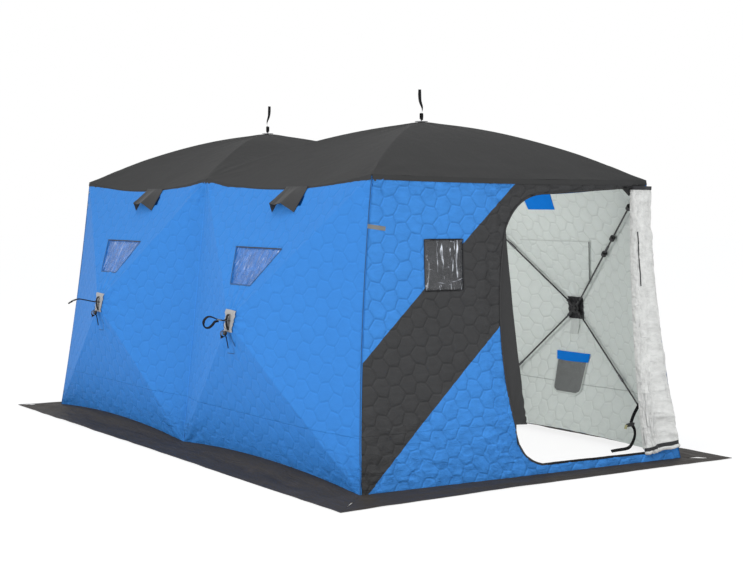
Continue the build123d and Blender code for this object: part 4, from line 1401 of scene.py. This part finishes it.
def moulded(name, colour, rough, metal=0.0, scale=420.0, coat=0.0):
    """Moulded, drawn or plated stock with a fine grain and handling marks."""
    finish = Finish(name)
    places = finish.places()
    fine = finish.noise(places, scale, 3.0, 0.6)
    marks = finish.ramp(finish.noise(places, scale / 9, 5.0, 0.65, 0.5), 0.52, 0.72)
    finish.set(Base_Color=finish.tint(colour, 0.85 + fine * 0.2 + marks * 0.25), Metallic=metal)
    finish.set(Roughness=(rough + marks * 0.12), Normal=finish.bump(fine * 0.00012))
    finish.set(Coat_Weight=coat, Coat_Roughness=0.2)
    return finish.material


def zip_black(name, looks):
    """Zip: tape with a line of teeth along its middle."""
    finish = Finish(name)
    along, _, _ = finish.axes(finish.cloth_places())
    tooth = finish.ramp((along * (2 * pi / TOOTH_PITCH)).sine(), -0.2, 0.4)
    finish.set(Base_Color=(0.014, 0.014, 0.015, 1.0), Roughness=0.45, Normal=finish.bump(tooth * 0.0006))
    return finish.material


def reflective(name, looks):
    """Glass bead tape: pale grey with a fine sparkle."""
    finish = Finish(name)
    beads = finish.noise(finish.places(), 900.0, 2.0, 0.6)
    finish.set(Base_Color=finish.tint((0.17, 0.17, 0.16), 0.8 + beads * 0.4), Metallic=0.2, Roughness=0.4)
    return finish.material


FINISHES = {
    # The long walls take a darker copy of the wall blue than the end walls do: painted shade on the long
    # walls.
    "wall_blue": lambda name, looks: quilted(
        name, scaled(looks.blue, 1.12, 0.84, 0.85), looks, seams=(0.305,), relief=0.6, crumple=2.4,
        groove_painted_shade=0.022, relief_painted_shading=0.045, crease_painted_shading=0.45, shine=0.12),
    "end_blue": end_blue,
    "liner": lambda name, looks: quilted(
        name, looks.liner, looks, seams=(0.352,), rough=0.7, relief=0.9, seam_dark=0.34,
        groove_painted_shade=0.04, relief_painted_shading=0.07, crease_painted_shading=0.25),
    "cover_liner": lambda name, looks: quilted(
        name, looks.liner, looks, rough=0.7, crumple=1.6, relief=0.8, groove_painted_shade=0.04,
        relief_painted_shading=0.05, crease_painted_shading=0.3),
    "door_liner": door_liner,
    "roof_black": roof_black,
    "skirt_grey": skirt_grey,
    "mesh_grey": mesh_grey,
    "zip_black": zip_black,
    "reflective": reflective,
    "black_cloth": lambda name, looks: plain_cloth(name, scaled(looks.black, 0.55), 0.0012, 22.0),
    "flap_blue": lambda name, looks: plain_cloth(name, looks.flap, 0.002, 16.0, 0.55, shine=0.0),
    "patch_grey": lambda name, looks: plain_cloth(name, (0.35, 0.345, 0.345), 0.0008, 20.0),
    "cap_grey": lambda name, looks: plain_cloth(name, (0.36, 0.36, 0.37), 0.0005, 40.0),
    "binding_grey": lambda name, looks: plain_cloth(name, scaled(looks.liner, 0.8), 0.0008, 30.0),
    "trim_black": lambda name, looks: plain_cloth(name, (0.016, 0.016, 0.018), 0.0006, 40.0, 0.6),
    "trim_blue": lambda name, looks: plain_cloth(name, looks.blue, 0.001, 30.0, 0.6),
    "trim_navy": lambda name, looks: plain_cloth(name, scaled(looks.blue, 0.30), 0.0008, 30.0, 0.6),
    # Dark navy: the box stitching's thread, and painted shade along a fold.
    "seam_shade": lambda name, looks: plain_cloth(name, scaled(looks.blue, 0.35), 0.0006, 40.0),
    "film_blue": lambda name, looks: film(name, (0.012, 0.125, 0.42), 0.42),
    "film_dark": lambda name, looks: film(name, (0.030, 0.032, 0.036), 1.35),
    "webbing_black": lambda name, looks: webbing(name, (0.009, 0.009, 0.010)),
    "webbing_flecked": lambda name, looks: webbing(name, (0.20, 0.20, 0.19)),
    "pole_black": lambda name, looks: moulded(name, (0.012, 0.012, 0.013), 0.32, scale=300.0, coat=0.3),
    "hub_black": lambda name, looks: moulded(name, (0.020, 0.020, 0.021), 0.48),
    "ferrule_steel": lambda name, looks: moulded(name, (0.10, 0.10, 0.105), 0.35, metal=1.0),
    "plated_steel": lambda name, looks: moulded(name, (0.55, 0.55, 0.56), 0.3, metal=1.0),
    "eyelet_brass": lambda name, looks: moulded(name, (0.55, 0.43, 0.22), 0.35, metal=1.0),
    "olive_buckle": lambda name, looks: moulded(name, (0.34, 0.33, 0.16), 0.45),
}


def cloth(name):
    """The material of a finish, made once. Its own name keeps it apart from the frame's materials."""
    own_name = "shelter " + name
    made = bpy.data.materials.get(own_name)
    return made or FINISHES[name](own_name, bpy.context.scene.shelter_looks)


# ------------------------------------------------------------------ what a user would change

def colour_property(name, description, default):
    return FloatVectorProperty(name=name, description=description, default=default, size=3,
                               subtype="COLOR", min=0.0, max=1.0)


class ShelterLooks(PropertyGroup):
    blue: colour_property("Wall blue", "Outer cloth of the walls", (0.031, 0.240, 0.675))
    black: colour_property("Stripe black", "Dark band on the end walls", (0.050, 0.050, 0.051))
    roof: colour_property("Roof black", "Cloth of both roofs", (0.043, 0.043, 0.043))
    liner: colour_property("Liner grey", "Inner side of the walls", (0.72, 0.765, 0.735))
    door_liner: colour_property("Door liner", "Inner side of the open door", (0.72, 0.72, 0.70))
    skirt: colour_property("Skirt grey", "Cloth that lies on the ground", (0.050, 0.0445, 0.0400))
    flap: colour_property("Flap blue", "Vent flaps and pocket bands", (0.004, 0.19, 0.70))
    mesh: colour_property("Mesh grey", "Net of the pockets", (0.18, 0.188, 0.185))
    quilt_depth: FloatProperty(name="Quilt depth", description="Height of a cell over its stitching",
                               default=0.0042, min=0.0, max=0.008, unit="LENGTH")
    crumple: FloatProperty(name="Crumple", description="Height of the fine creases",
                           default=0.0016, min=0.0, max=0.006, unit="LENGTH")


class ShelterStage(PropertyGroup):
    spot: FloatVectorProperty(name="Camera", description="Where the camera stands",
                              default=(8.766, -5.4322, 1.5392), size=3, subtype="XYZ", unit="LENGTH")
    heading: FloatProperty(name="Heading", description="Way the camera looks, from +X",
                           default=2.5638, subtype="ANGLE", unit="ROTATION")
    pitch: FloatProperty(name="Pitch", description="Tilt of the camera's line over level",
                         default=-0.0548, subtype="ANGLE", unit="ROTATION")
    roll: FloatProperty(name="Roll", description="Turn of the camera round its line",
                        default=0.0071, subtype="ANGLE", unit="ROTATION")
    lens: FloatProperty(name="Lens", description="Focal length in millimetres", default=71.99, min=10.0)


# ------------------------------------------------------------------ stage

SENSOR = 36.0
SKY, SKY_STRENGTH = (0.96, 0.98, 1.0, 1.0), 0.80
WHITE = (1.0, 1.0, 1.0, 1.0)
FLOOR, FLOOR_HALF = (0.86, 0.86, 0.86, 1.0), 60.0
FLOOR_GLOW, FLOOR_GLOW_SHARE = 1.09, 0.78    # the glow that hides the floor's far edge
# name, place, what it is aimed at, size in metres and power in watts
LAMPS = (
    ("key", (2.0, -3.4, 10.0), (0.0, 0.0, 0.9), 3.0, 225.0),
    ("side", (8.5, -1.0, 7.5), (1.5, 0.0, 0.9), 3.0, 95.0),
    ("front fill", (0.5, -7.5, 0.7), (0.0, 0.0, 0.5), 4.0, 205.0),
    ("end fill", (8.5, -1.5, 0.6), (2.0, 0.0, 0.4), 3.0, 140.0),
    ("inside", (0.4, -0.35, 1.45), (1.3, 1.1, 0.7), 0.9, 14.0),
    ("inside low", (1.2, -0.6, 0.25), (1.2, 1.3, 1.3), 0.6, 3.0),
)


# ------------------------------------------------------------------ sheets, as they are cut

# (width, length) in metres, how the sheet is held, and its area where it isn't a rectangle
CUT = {
    "wall": ((2.16, 1.76), "stretched", 3.55),
    "end": ((2.34, 1.74), "stretched", 2.15),
    "closed door": ((1.06, 1.64), "stretched", 1.55),
    "open door": ((1.04, 1.62), "folded", None),
    "roof": ((2.02, 2.06), "stretched", None),
    "long skirt": ((4.60, 0.33), "laid", None),
    "end skirt": ((2.66, 0.26), "laid", 0.62),
    "wall film": ((0.58, 0.24), "stretched", 0.092),
    "end film": ((0.29, 0.31), "stretched", None),
    "window cover": ((0.73, 0.29), "hung", 0.15),
    "end cover": ((0.346, 0.363), "hung", None),
    "vent flap": ((0.30, 0.105), "hung", None),
    "pocket mesh": ((0.305, 0.22), "hung", None),
    "pocket band": ((0.34, 0.055), "hung", None),
    "hub backing": ((BACKING, BACKING), "stretched", None),
    "lining patch": ((0.09, 0.10), "stretched", None),
    "vent hood": ((0.27, 0.17), "hung", None),
    "storm strip": ((0.13, 1.31), "hung", 0.125),
    "hub patch": ((0.13, 0.13), "stretched", 0.0150),
}
# columns, rows, thickness, puff, finish and slot of each kind of layer sewn on a wall
LAYERS = {
    "wall film": (60, 30, 0.0012, 0.0, "film_blue", "window_film"),
    "end film": (30, 32, 0.0012, 0.0, "film_dark", "window_film"),
    "window cover": (56, 26, COVER_T, 0.003, "cover_liner", "liner_grey"),
    "end cover": (30, 30, COVER_T, 0.002, "cover_liner", "liner_grey"),
    "vent flap": (24, 12, 0.003, 0.0, "flap_blue", "flap_blue"),
    "pocket mesh": (36, 30, 0.0012, 0.0, "mesh_grey", "mesh_grey"),
    "pocket band": (30, 8, 0.003, 0.0, "flap_blue", "flap_blue"),
    "hub backing": (16, 16, 0.0025, 0.0, "trim_black", "wall_black"),
    "lining patch": (10, 10, 0.002, 0.0, "binding_grey", "liner_grey"),
    "hub patch": (12, 12, 0.002, 0.0, "patch_grey", "patch_grey"),
    "storm strip": (10, 110, 0.004, 0.0, "black_cloth", "wall_black"),
}
# (width, thickness) of bands and tapes
EDGING, PIPING, END_EDGING = (0.0045, 0.002), (0.005, 0.002), (0.006, 0.002)
COVER_ZIP, COVER_SEAM, POCKET_BINDING = (0.007, 0.003), (0.005, 0.002), (0.010, 0.003)
DOORWAY_TAPE, REFLECTIVE_TAPE, EAVE_HEM = (0.010, 0.003), (0.023, 0.001), (0.026, 0.004)
WELT_R, COIL_R = 0.0028, 0.0045
WALL_PUFF = 0.55                     # share of the quilt depth on the taut long walls
FILM_BACK = -0.004                   # a film lies this far behind the face of its wall
FILM_LAP, COVER_LAP = 0.006, 0.038   # how far a film and an end cover reach past their opening
BEHIND = INSIDE - 0.003              # seams and zips on the inner layers
PATCH_OUT, MARK_OUT = 0.0080, 0.0050
DOOR_T, DOOR_PUFF, DOOR_SLACK = 0.005, 0.003, 0.8
ROOF_CLOTH_T, HOOD_T = 0.004, 0.003
LAYER_SLACK = 0.5


def layer(name, kind, made, back, nodes, inside=False):
    """A sewn-on layer as a finished piece; made gives its mesh for a number of columns and rows."""
    columns, rows, thickness, puff, finish, slot = LAYERS[kind]
    bm = made(columns, rows)
    if inside:
        bmesh.ops.reverse_faces(bm, faces=bm.faces)
    thicken(bm, thickness, puff, lambda u, v: LAYER_SLACK)
    put(name, bm, [finish] * 2, slot, back, nodes, CUT[kind])


# ------------------------------------------------------------------ makers

class SHELTER_OT_stage(Operator):
    """Set up the floor, the light and the camera"""
    bl_idname = "shelter.stage"
    bl_label = "Stage"

    def execute(self, context):
        stage = context.scene.shelter_stage
        self.make_camera(context, stage)
        self.make_world(context)
        self.make_floor(context)
        self.make_lamps(context)
        context.scene.view_settings.view_transform = "Standard"
        return {"FINISHED"}

    @staticmethod
    def make_camera(context, stage):
        level = cos(stage.pitch)
        ahead = Vector((level * cos(stage.heading), level * sin(stage.heading), sin(stage.pitch)))
        right = ahead.cross(Vector((0, 0, 1))).normalized()
        up = right.cross(ahead)
        c, s = cos(stage.roll), sin(stage.roll)
        turn = Matrix((c * right + s * up, c * up - s * right, -ahead)).transposed().to_4x4()
        data = bpy.data.cameras.new("camera")
        data.lens = stage.lens
        data.sensor_width = SENSOR
        camera = bpy.data.objects.new("camera", data)
        camera.matrix_world = Matrix.Translation(stage.spot) @ turn
        context.scene.collection.objects.link(camera)
        context.scene.camera = camera

    @staticmethod
    def seen(nodes):
        """1 for what the camera sees, straight or by reflection."""
        rays = nodes.node("ShaderNodeLightPath")
        return rays["Is Camera Ray"].most(rays["Is Glossy Ray"]).most(rays["Is Transmission Ray"])

    def make_world(self, context):
        world = bpy.data.worlds.new("studio")
        context.scene.world = world
        world.use_nodes = True
        nodes = Nodes(world.node_tree)
        soft = nodes.node("ShaderNodeBackground", inputs={"Color": SKY, "Strength": SKY_STRENGTH})
        white = nodes.node("ShaderNodeBackground", inputs={"Color": WHITE, "Strength": 1.0})
        shaders = {0: self.seen(nodes), 1: soft["Background"], 2: white["Background"]}
        mixed = nodes.node("ShaderNodeMixShader", inputs=shaders)
        nodes.node("ShaderNodeOutputWorld", inputs={"Surface": mixed["Shader"]})

    def make_floor(self, context):
        material = bpy.data.materials.new("floor")
        material.use_nodes = True
        nodes = Nodes(material.node_tree)
        matt = nodes.node("ShaderNodeBsdfDiffuse", inputs={"Color": FLOOR})
        glow = nodes.node("ShaderNodeEmission", inputs={"Color": WHITE, "Strength": FLOOR_GLOW})
        shaders = {0: self.seen(nodes) * FLOOR_GLOW_SHARE, 1: matt["BSDF"], 2: glow["Emission"]}
        mixed = nodes.node("ShaderNodeMixShader", inputs=shaders)
        nodes.node("ShaderNodeOutputMaterial", inputs={"Surface": mixed["Shader"]})
        bm = bmesh.new()
        bmesh.ops.create_grid(bm, x_segments=1, y_segments=1, size=FLOOR_HALF)
        mesh = bpy.data.meshes.new("floor")
        bm.to_mesh(mesh)
        bm.free()
        mesh.materials.append(material)
        floor = bpy.data.objects.new("floor", mesh)
        context.scene.collection.objects.link(floor)

    @staticmethod
    def make_lamps(context):
        for name, spot, aim, size, power in LAMPS:
            data = bpy.data.lights.new(name, "AREA")
            data.size, data.energy = size, power
            lamp = bpy.data.objects.new(name, data)
            lamp.location = spot
            lamp.rotation_euler = (Vector(aim) - Vector(spot)).to_track_quat("-Z", "Y").to_euler()
            lamp.visible_camera = False
            context.scene.collection.objects.link(lamp)


class SHELTER_OT_walls(Operator):
    """Sew the long walls of both bays"""
    bl_idname = "shelter.walls"
    bl_label = "Long walls"

    def execute(self, context):
        puff = context.scene.shelter_looks.quilt_depth * WALL_PUFF
        for name, (bay, back) in WALLS.items():
            bm = wall_cloth(bay, back)
            thicken(bm, WALL_T, puff, wall_slack, wall_ripple)
            put(f"{name}_wall_cloth", bm, ["wall_blue", "liner"], "wall_blue", back, [f"{name}_wall"],
                CUT["wall"])
        return {"FINISHED"}


class SHELTER_OT_ends(Operator):
    """Sew the end walls and the closed door"""
    bl_idname = "shelter.ends"
    bl_label = "End walls"

    def execute(self, context):
        for side, back in ENDS.items():
            nodes = [f"{side}_{part}" for part in ("end_wall", "door_header", "door_sill", "door_post")]
            self.panel(context, f"{side}_end_cloth", END_WINDOW, False, back, nodes, "end")
        self.panel(context, "left_door_cloth", DOOR_WINDOW, True, True, ["left_door"], "closed door")
        return {"FINISHED"}

    def panel(self, context, name, window, inside, back, nodes, cut):
        bm = end_cloth(inside)
        cut_hole(bm, window, "y")
        thicken(bm, WALL_T, context.scene.shelter_looks.quilt_depth, end_slack, end_ripple)
        put(name, bm, ["end_blue", "liner"], "wall_blue", back, nodes, CUT[cut])


class SHELTER_OT_door(Operator):
    """Fold the open door back round its corner"""
    bl_idname = "shelter.door"
    bl_label = "Open door"

    def execute(self, context):
        bm = door_cloth()
        thicken(bm, DOOR_T, DOOR_PUFF, lambda u, v: DOOR_SLACK)
        put("right_door_cloth", bm, ["door_liner", "end_blue"], "liner_grey", False, ["right_door"],
            CUT["open door"])
        return {"FINISHED"}


class SHELTER_OT_roofs(Operator):
    """Stretch the roofs over their poles"""
    bl_idname = "shelter.roofs"
    bl_label = "Roofs"

    def execute(self, context):
        for side, back in ENDS.items():
            bm = roof_cloth()
            thicken(bm, ROOF_CLOTH_T, 0.0, None, roof_ripple)
            put(f"{side}_roof_cloth", bm, ["roof_black"] * 2, "roof_black", back, [f"{side}_roof"],
                CUT["roof"])
        return {"FINISHED"}


class SHELTER_OT_skirts(Operator):
    """Spread the skirts on the ground"""
    bl_idname = "shelter.skirts"
    bl_label = "Skirts"

    def execute(self, context):
        skirts = (
            ("front_skirt", long_skirt, False, "long skirt"),
            ("back_skirt", long_skirt, True, "long skirt"),
            ("right_skirt", end_skirt, False, "end skirt"),
            ("left_skirt", end_skirt, True, "end skirt"),
        )
        for name, made, back, cut in skirts:
            bm = made()
            thicken(bm, SKIRT_T)
            put(f"{name}_cloth", bm, ["skirt_grey"] * 2, "skirt_grey", back, [name], CUT[cut])
        return {"FINISHED"}


class SHELTER_OT_windows(Operator):
    """Set the clear films and their edging into the walls"""
    bl_idname = "shelter.windows"
    bl_label = "Windows"

    def execute(self, context):
        for name, (bay, back) in WALLS.items():
            corners = shifted(WINDOW, bay * HUB_X)
            skin = partial(wall_skin, bay)
            film_cloth = partial(on_patch, skin, grow(corners, FILM_LAP), crinkled(FILM_BACK))
            layer(f"{name}_film", "wall film", film_cloth, back, [f"{name}_window"])
            line = skin_line(skin, [corners[2], corners[3], corners[0]], WALL_SKIN)
            put(f"{name}_window_edging", ribbon(line, *EDGING, OUT), ["trim_black"], "wall_black", back)
            line = skin_line(skin, corners[:3], WALL_SKIN)
            put(f"{name}_window_piping", ribbon(line, *PIPING, OUT), ["trim_navy"], "wall_blue", back)
        for side, back in ENDS.items():
            self.end_window(f"{side}_window", END_WINDOW, back)
        self.end_window("left_door_window", DOOR_WINDOW, True)
        return {"FINISHED"}

    def end_window(self, name, corners, back):
        film_cloth = partial(on_patch, end_skin, grow(corners, FILM_LAP), crinkled(FILM_BACK))
        layer(f"{name}_film", "end film", film_cloth, back, [name])
        line = skin_line(end_skin, [*corners, corners[0]], WALL_SKIN)
        put(f"{name}_edging", ribbon(line, *END_EDGING, END_OUT), ["trim_black"], "wall_black", back)


class SHELTER_OT_linings(Operator):
    """Sew the covers, flaps, pockets and hub squares inside the walls"""
    bl_idname = "shelter.linings"
    bl_label = "Linings"

    def execute(self, context):
        for name, (bay, back) in WALLS.items():
            skin = partial(wall_skin, bay)
            self.cover(name, skin, bay, back)
            self.vent_flap(name, skin, bay, back)
            self.pocket(name, skin, bay, back)
            self.backing(name, skin, bay, back)
        for side, back in ENDS.items():
            self.end_cover(f"{side}_window_cover", END_WINDOW, back)
        self.end_cover("left_door_window_cover", DOOR_WINDOW, True)
        return {"FINISHED"}

    def cover(self, name, skin, bay, back):
        corners = shifted(COVER, bay * HUB_X)
        layer(f"{name}_window_cover", "window cover", partial(on_patch, skin, corners, INSIDE), back,
              ["window_covers"], inside=True)
        zips = [corners[3], corners[0]] if back else [corners[2], corners[1]]
        zipped = ribbon(skin_line(skin, zips, BEHIND), *COVER_ZIP, -OUT)
        put(f"{name}_cover_zip", zipped, ["zip_black"], "wall_black", back)
        seam = ribbon(skin_line(skin, corners[2:], BEHIND), *COVER_SEAM, -OUT)
        put(f"{name}_cover_seam", seam, ["binding_grey"], "liner_grey", back)

    def vent_flap(self, name, skin, bay, back):
        low, high, x = 1.545, 1.650, vent_x(bay, back)
        corners = [(x - 0.199, low), (x + 0.082, low), (x + 0.101, high), (x - 0.201, high)]
        layer(f"{name}_vent_flap", "vent flap", partial(on_patch, skin, corners, INSIDE), back,
              ["vent_flaps"], inside=True)

    def pocket(self, name, skin, bay, back):
        x, low, high, mouth = bay * (HUB_X + (0.045 if back else 0.0)), 0.298, 0.520, 0.572

        def spot(a, b):
            z = low + (high - low) * b
            inset = POCKET_ROUND - sqrt(max(POCKET_ROUND ** 2 - max(POCKET_ROUND - (z - low), 0) ** 2, 0))
            half = 0.138 + 0.014 * b - inset
            return x + (2 * a - 1) * half, z

        def place(a, b):
            full = 0.016 * (4 * a * (1 - a)) * b
            return on_wall(bay, *spot(a, b), INSIDE - 0.002 - full)

        def net(columns, rows):
            return cloth_grid(columns, rows, place, spot)

        def slack_mouth(a, b):
            return INSIDE - 0.004 - 0.018 * 4 * a * (1 - a) * (1 - b)

        layer(f"{name}_pocket_mesh", "pocket mesh", net, back, ["mesh_pockets"], inside=True)
        shares = [i / 16 for i in range(1, 17)]
        edge = [spot(0, 1), *(spot(0, 1 - t) for t in shares), *(spot(t, 0) for t in shares),
                *(spot(1, t) for t in shares)]
        line = [on_wall(bay, *p, INSIDE - 0.004) for p in edge]
        binding = ribbon(line, *POCKET_BINDING, -OUT)
        put(f"{name}_pocket_binding", binding, ["binding_grey"], "liner_grey", back)
        foot = high - 0.006
        corners = [(x - 0.160, foot), (x + 0.160, foot), (x + 0.176, mouth), (x - 0.166, mouth)]
        layer(f"{name}_pocket_band", "pocket band", partial(on_patch, skin, corners, slack_mouth), back, (),
              inside=True)

    def backing(self, name, skin, bay, back):
        x, half = bay * HUB_X, BACKING / 2
        square = rectangle(x - half, HUB_Z - half, x + half, HUB_Z + half)
        layer(f"{name}_hub_backing", "hub backing", partial(on_patch, skin, square, INSIDE), back,
              ["hub_backings"], inside=True)
        low = HUB_Z - half - 0.105
        patch = rectangle(x - 0.045, low, x + 0.045, low + 0.10)
        layer(f"{name}_lining_patch", "lining patch", partial(on_patch, skin, patch, INSIDE), back, (),
              inside=True)

    def end_cover(self, name, corners, back):
        made = partial(on_patch, end_skin, grow(corners, COVER_LAP), INSIDE)
        layer(name, "end cover", made, back, ["end_window_covers"], inside=True)


class SHELTER_OT_hoods(Operator):
    """Sew the vent hoods under the eaves"""
    bl_idname = "shelter.hoods"
    bl_label = "Vent hoods"

    def execute(self, context):
        for name, (bay, back) in WALLS.items():
            bm = hood_cloth(bay, vent_x(bay, back))
            thicken(bm, HOOD_T)
            put(f"{name}_vent_hood", bm, ["black_cloth"] * 2, "roof_black", back, ["vent_hoods"],
                CUT["vent hood"])
        return {"FINISHED"}


class SHELTER_OT_doorways(Operator):
    """Bind the doorways and hang the strips behind their zips"""
    bl_idname = "shelter.doorways"
    bl_label = "Doorways"

    def execute(self, context):
        edge = doorway_edge()
        for side, back in ENDS.items():
            tape = ribbon([end_skin(y, z, WALL_SKIN) for y, z in edge], *DOORWAY_TAPE, END_OUT)
            coil = tube([end_skin(y, z, -WALL_T / 2) for y, z in edge], COIL_R)
            put(f"{side}_doorway_zip", joined([tape, coil]), ["zip_black"], "wall_black", back,
                ["doorway_bindings"])
            layer(f"{side}_storm_strip", "storm strip", storm_strip, back, ["storm_flaps"])
        return {"FINISHED"}


class SHELTER_OT_hub_fronts(Operator):
    """Sew the patches and pull straps on the hubs"""
    bl_idname = "shelter.hub_fronts"
    bl_label = "Hub patches and straps"

    def execute(self, context):
        for name, (bay, back) in WALLS.items():
            skin = partial(wall_skin, bay)
            patch, box, fold = (
                [(bay * HUB_X + x, HUB_Z + z) for x, z in spots] for spots in (HUB_PATCH, BOX_MARK, FOLD_SHADE_MARK)
            )
            layer(f"{name}_hub_patch", "hub patch", partial(on_patch, skin, patch, PATCH_OUT), back,
                  ["hub_patches"])
            put(f"{name}_pull_strap", joined(wall_straps(bay)), ["webbing_black"], "webbing_black", back,
                ["wall_pull_straps"])
            put(f"{name}_strap_ball", strap_ball(bay), ["hub_black"], "hub_black", back)
            put(f"{name}_strap_tie", strap_ties(bay), ["webbing_flecked"], "webbing_black", back)
            # The box mark is dark stitching thread; the fold mark is a dark band of painted shade where the
            # cloth folds.
            for mark, spots, width in (("box_stitch", box, 0.004), ("fold", fold, 0.006)):
                bm = ribbon(skin_line(skin, spots, MARK_OUT), width, 0.001, OUT)
                put(f"{name}_{mark}", bm, ["seam_shade"], "wall_blue", back)
        for side, back in ENDS.items():
            put(f"{side}_roof_strap", joined(roof_strap()), ["webbing_black"], "webbing_black", back,
                ["roof_pull_straps"])
        return {"FINISHED"}


class SHELTER_OT_trims(Operator):
    """Pipe the seams, hem the eaves, and sew on the tape and snaps"""
    bl_idname = "shelter.trims"
    bl_label = "Trims"

    def execute(self, context):
        self.seams()
        for side, back in ENDS.items():
            self.valance(side, back)
            tape = ribbon(skin_line(end_skin, TAPE, WALL_SKIN), *REFLECTIVE_TAPE, END_OUT)
            put(f"{side}_reflective_tape", tape, ["reflective"], "patch_grey", back)
            put(f"{side}_snaps", joined([snap(y, z) for y, z in SNAPS]), ["hub_black"], "hub_black", back)
        return {"FINISHED"}

    def seams(self):
        welts, posts = [], []
        for back in (False, True):
            for bay in (-1, 1):
                corner = [side_of_wall(1, i / 60) for i in range(61)]
                line = [on_plane(bay * p.x, p.y, 0.001) for p in corner]
                welts.append(turned_if(tube(line, WELT_R), back))
            line = [on_plane(0, HEM + (SLOPE - HEM) * i / 60, 0.001) for i in range(61)]
            posts.append(turned_if(tube(line, WELT_R), back))
        put("corner_welts", joined(welts), ["trim_navy"], "wall_black")
        put("post_piping", joined(posts), ["trim_blue"], "wall_blue")

    def valance(self, side, back):
        hems = []
        for edge, outward in enumerate(((0, -1, 0.15), (1, 0, 0.15), (0, 1, 0.15))):
            outward = Vector(outward)
            line = [on_roof(edge, i / 80, 1.0, -0.012) + outward.normalized() * 0.006 for i in range(81)]
            hems.append(ribbon(line, *EAVE_HEM, outward))
        put(f"{side}_eave_hem", joined(hems), ["roof_black"], "roof_black", back)


class SHELTER_OT_door_gear(Operator):
    """Hang the tie-down strap, the gusset and the door's bands by the open door"""
    bl_idname = "shelter.door_gear"
    bl_label = "Door gear"

    def execute(self, context):
        gear = (
            ("right_door_top_band", door_band(0.0, 0.42, 1.668, 1.691, 0.0), "trim_black", "wall_black"),
            ("right_door_foot_band", door_band(0.055, 0.40, 0.070, 0.092, 0.034), "trim_black", "wall_black"),
            ("right_door_roll", door_roll(), "door_liner", "liner_grey"),
            ("right_door_window_zip", door_zip(), "zip_black", "wall_black"),
            ("corner_gusset", gusset(), "black_cloth", "wall_black"),
            ("corner_strap", corner_strap(), "webbing_black", "webbing_black"),
            ("corner_strap_stitch", corner_strap_stitch(), "webbing_flecked", "webbing_black"),
            ("tie_down", tie_down(), "webbing_black", "webbing_black"),
            ("tie_buckle", tie_buckle(), "hub_black", "hub_black"),
            ("tie_tag", tie_tag(), "olive_buckle", "hub_black"),
        )
        for name, bm, finish, slot in gear:
            put(name, bm, [finish], slot)
        return {"FINISHED"}


class SHELTER_OT_hardware(Operator):
    """Give the poles, hubs, rings and eyelets their finish"""
    bl_idname = "shelter.hardware"
    bl_label = "Hardware"

    def execute(self, context):
        finishes = {"_poles": "pole_black", "hubs": "hub_black", "hub_knuckles": "hub_black",
                    "hub_pins": "plated_steel", "pole_ferrules": "ferrule_steel", "pole_cups": "hub_black",
                    "pole_clips": "hub_black", "strap_rings": "hub_black", "roof_caps": "cap_grey",
                    "skirt_eyelets": "eyelet_brass"}
        for name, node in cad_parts.items():
            for ending, finish in finishes.items():
                if name.endswith(ending):
                    node.data.materials.clear()
                    node.data.materials.append(cloth(finish))
        return {"FINISHED"}


MAKERS = (
    SHELTER_OT_stage, SHELTER_OT_walls, SHELTER_OT_ends, SHELTER_OT_door, SHELTER_OT_roofs,
    SHELTER_OT_skirts, SHELTER_OT_windows, SHELTER_OT_linings, SHELTER_OT_hoods, SHELTER_OT_doorways,
    SHELTER_OT_hub_fronts, SHELTER_OT_trims, SHELTER_OT_door_gear, SHELTER_OT_hardware,
)


class SHELTER_PT_makers(Panel):
    """Lists the makers of the shelter's pieces"""
    bl_idname = "SHELTER_PT_makers"
    bl_label = "Shelter"
    bl_space_type = "VIEW_3D"
    bl_region_type = "UI"
    bl_category = "Shelter"

    def draw(self, context):
        for maker in MAKERS:
            self.layout.operator(maker.bl_idname)
        for settings in (context.scene.shelter_looks, context.scene.shelter_stage):
            box = self.layout.box()
            for name in settings.__annotations__:
                box.prop(settings, name)


CLASSES = (ShelterLooks, ShelterStage, *MAKERS, SHELTER_PT_makers)


def register():
    for made in CLASSES:
        bpy.utils.register_class(made)
    bpy.types.Scene.shelter_looks = PointerProperty(type=ShelterLooks)
    bpy.types.Scene.shelter_stage = PointerProperty(type=ShelterStage)


def unregister():
    del bpy.types.Scene.shelter_stage
    del bpy.types.Scene.shelter_looks
    for made in reversed(CLASSES):
        bpy.utils.unregister_class(made)


def main():
    register()
    for maker in MAKERS:
        group, name = maker.bl_idname.split(".")
        getattr(getattr(bpy.ops, group), name)()


if __name__ == "__main__":
    main()
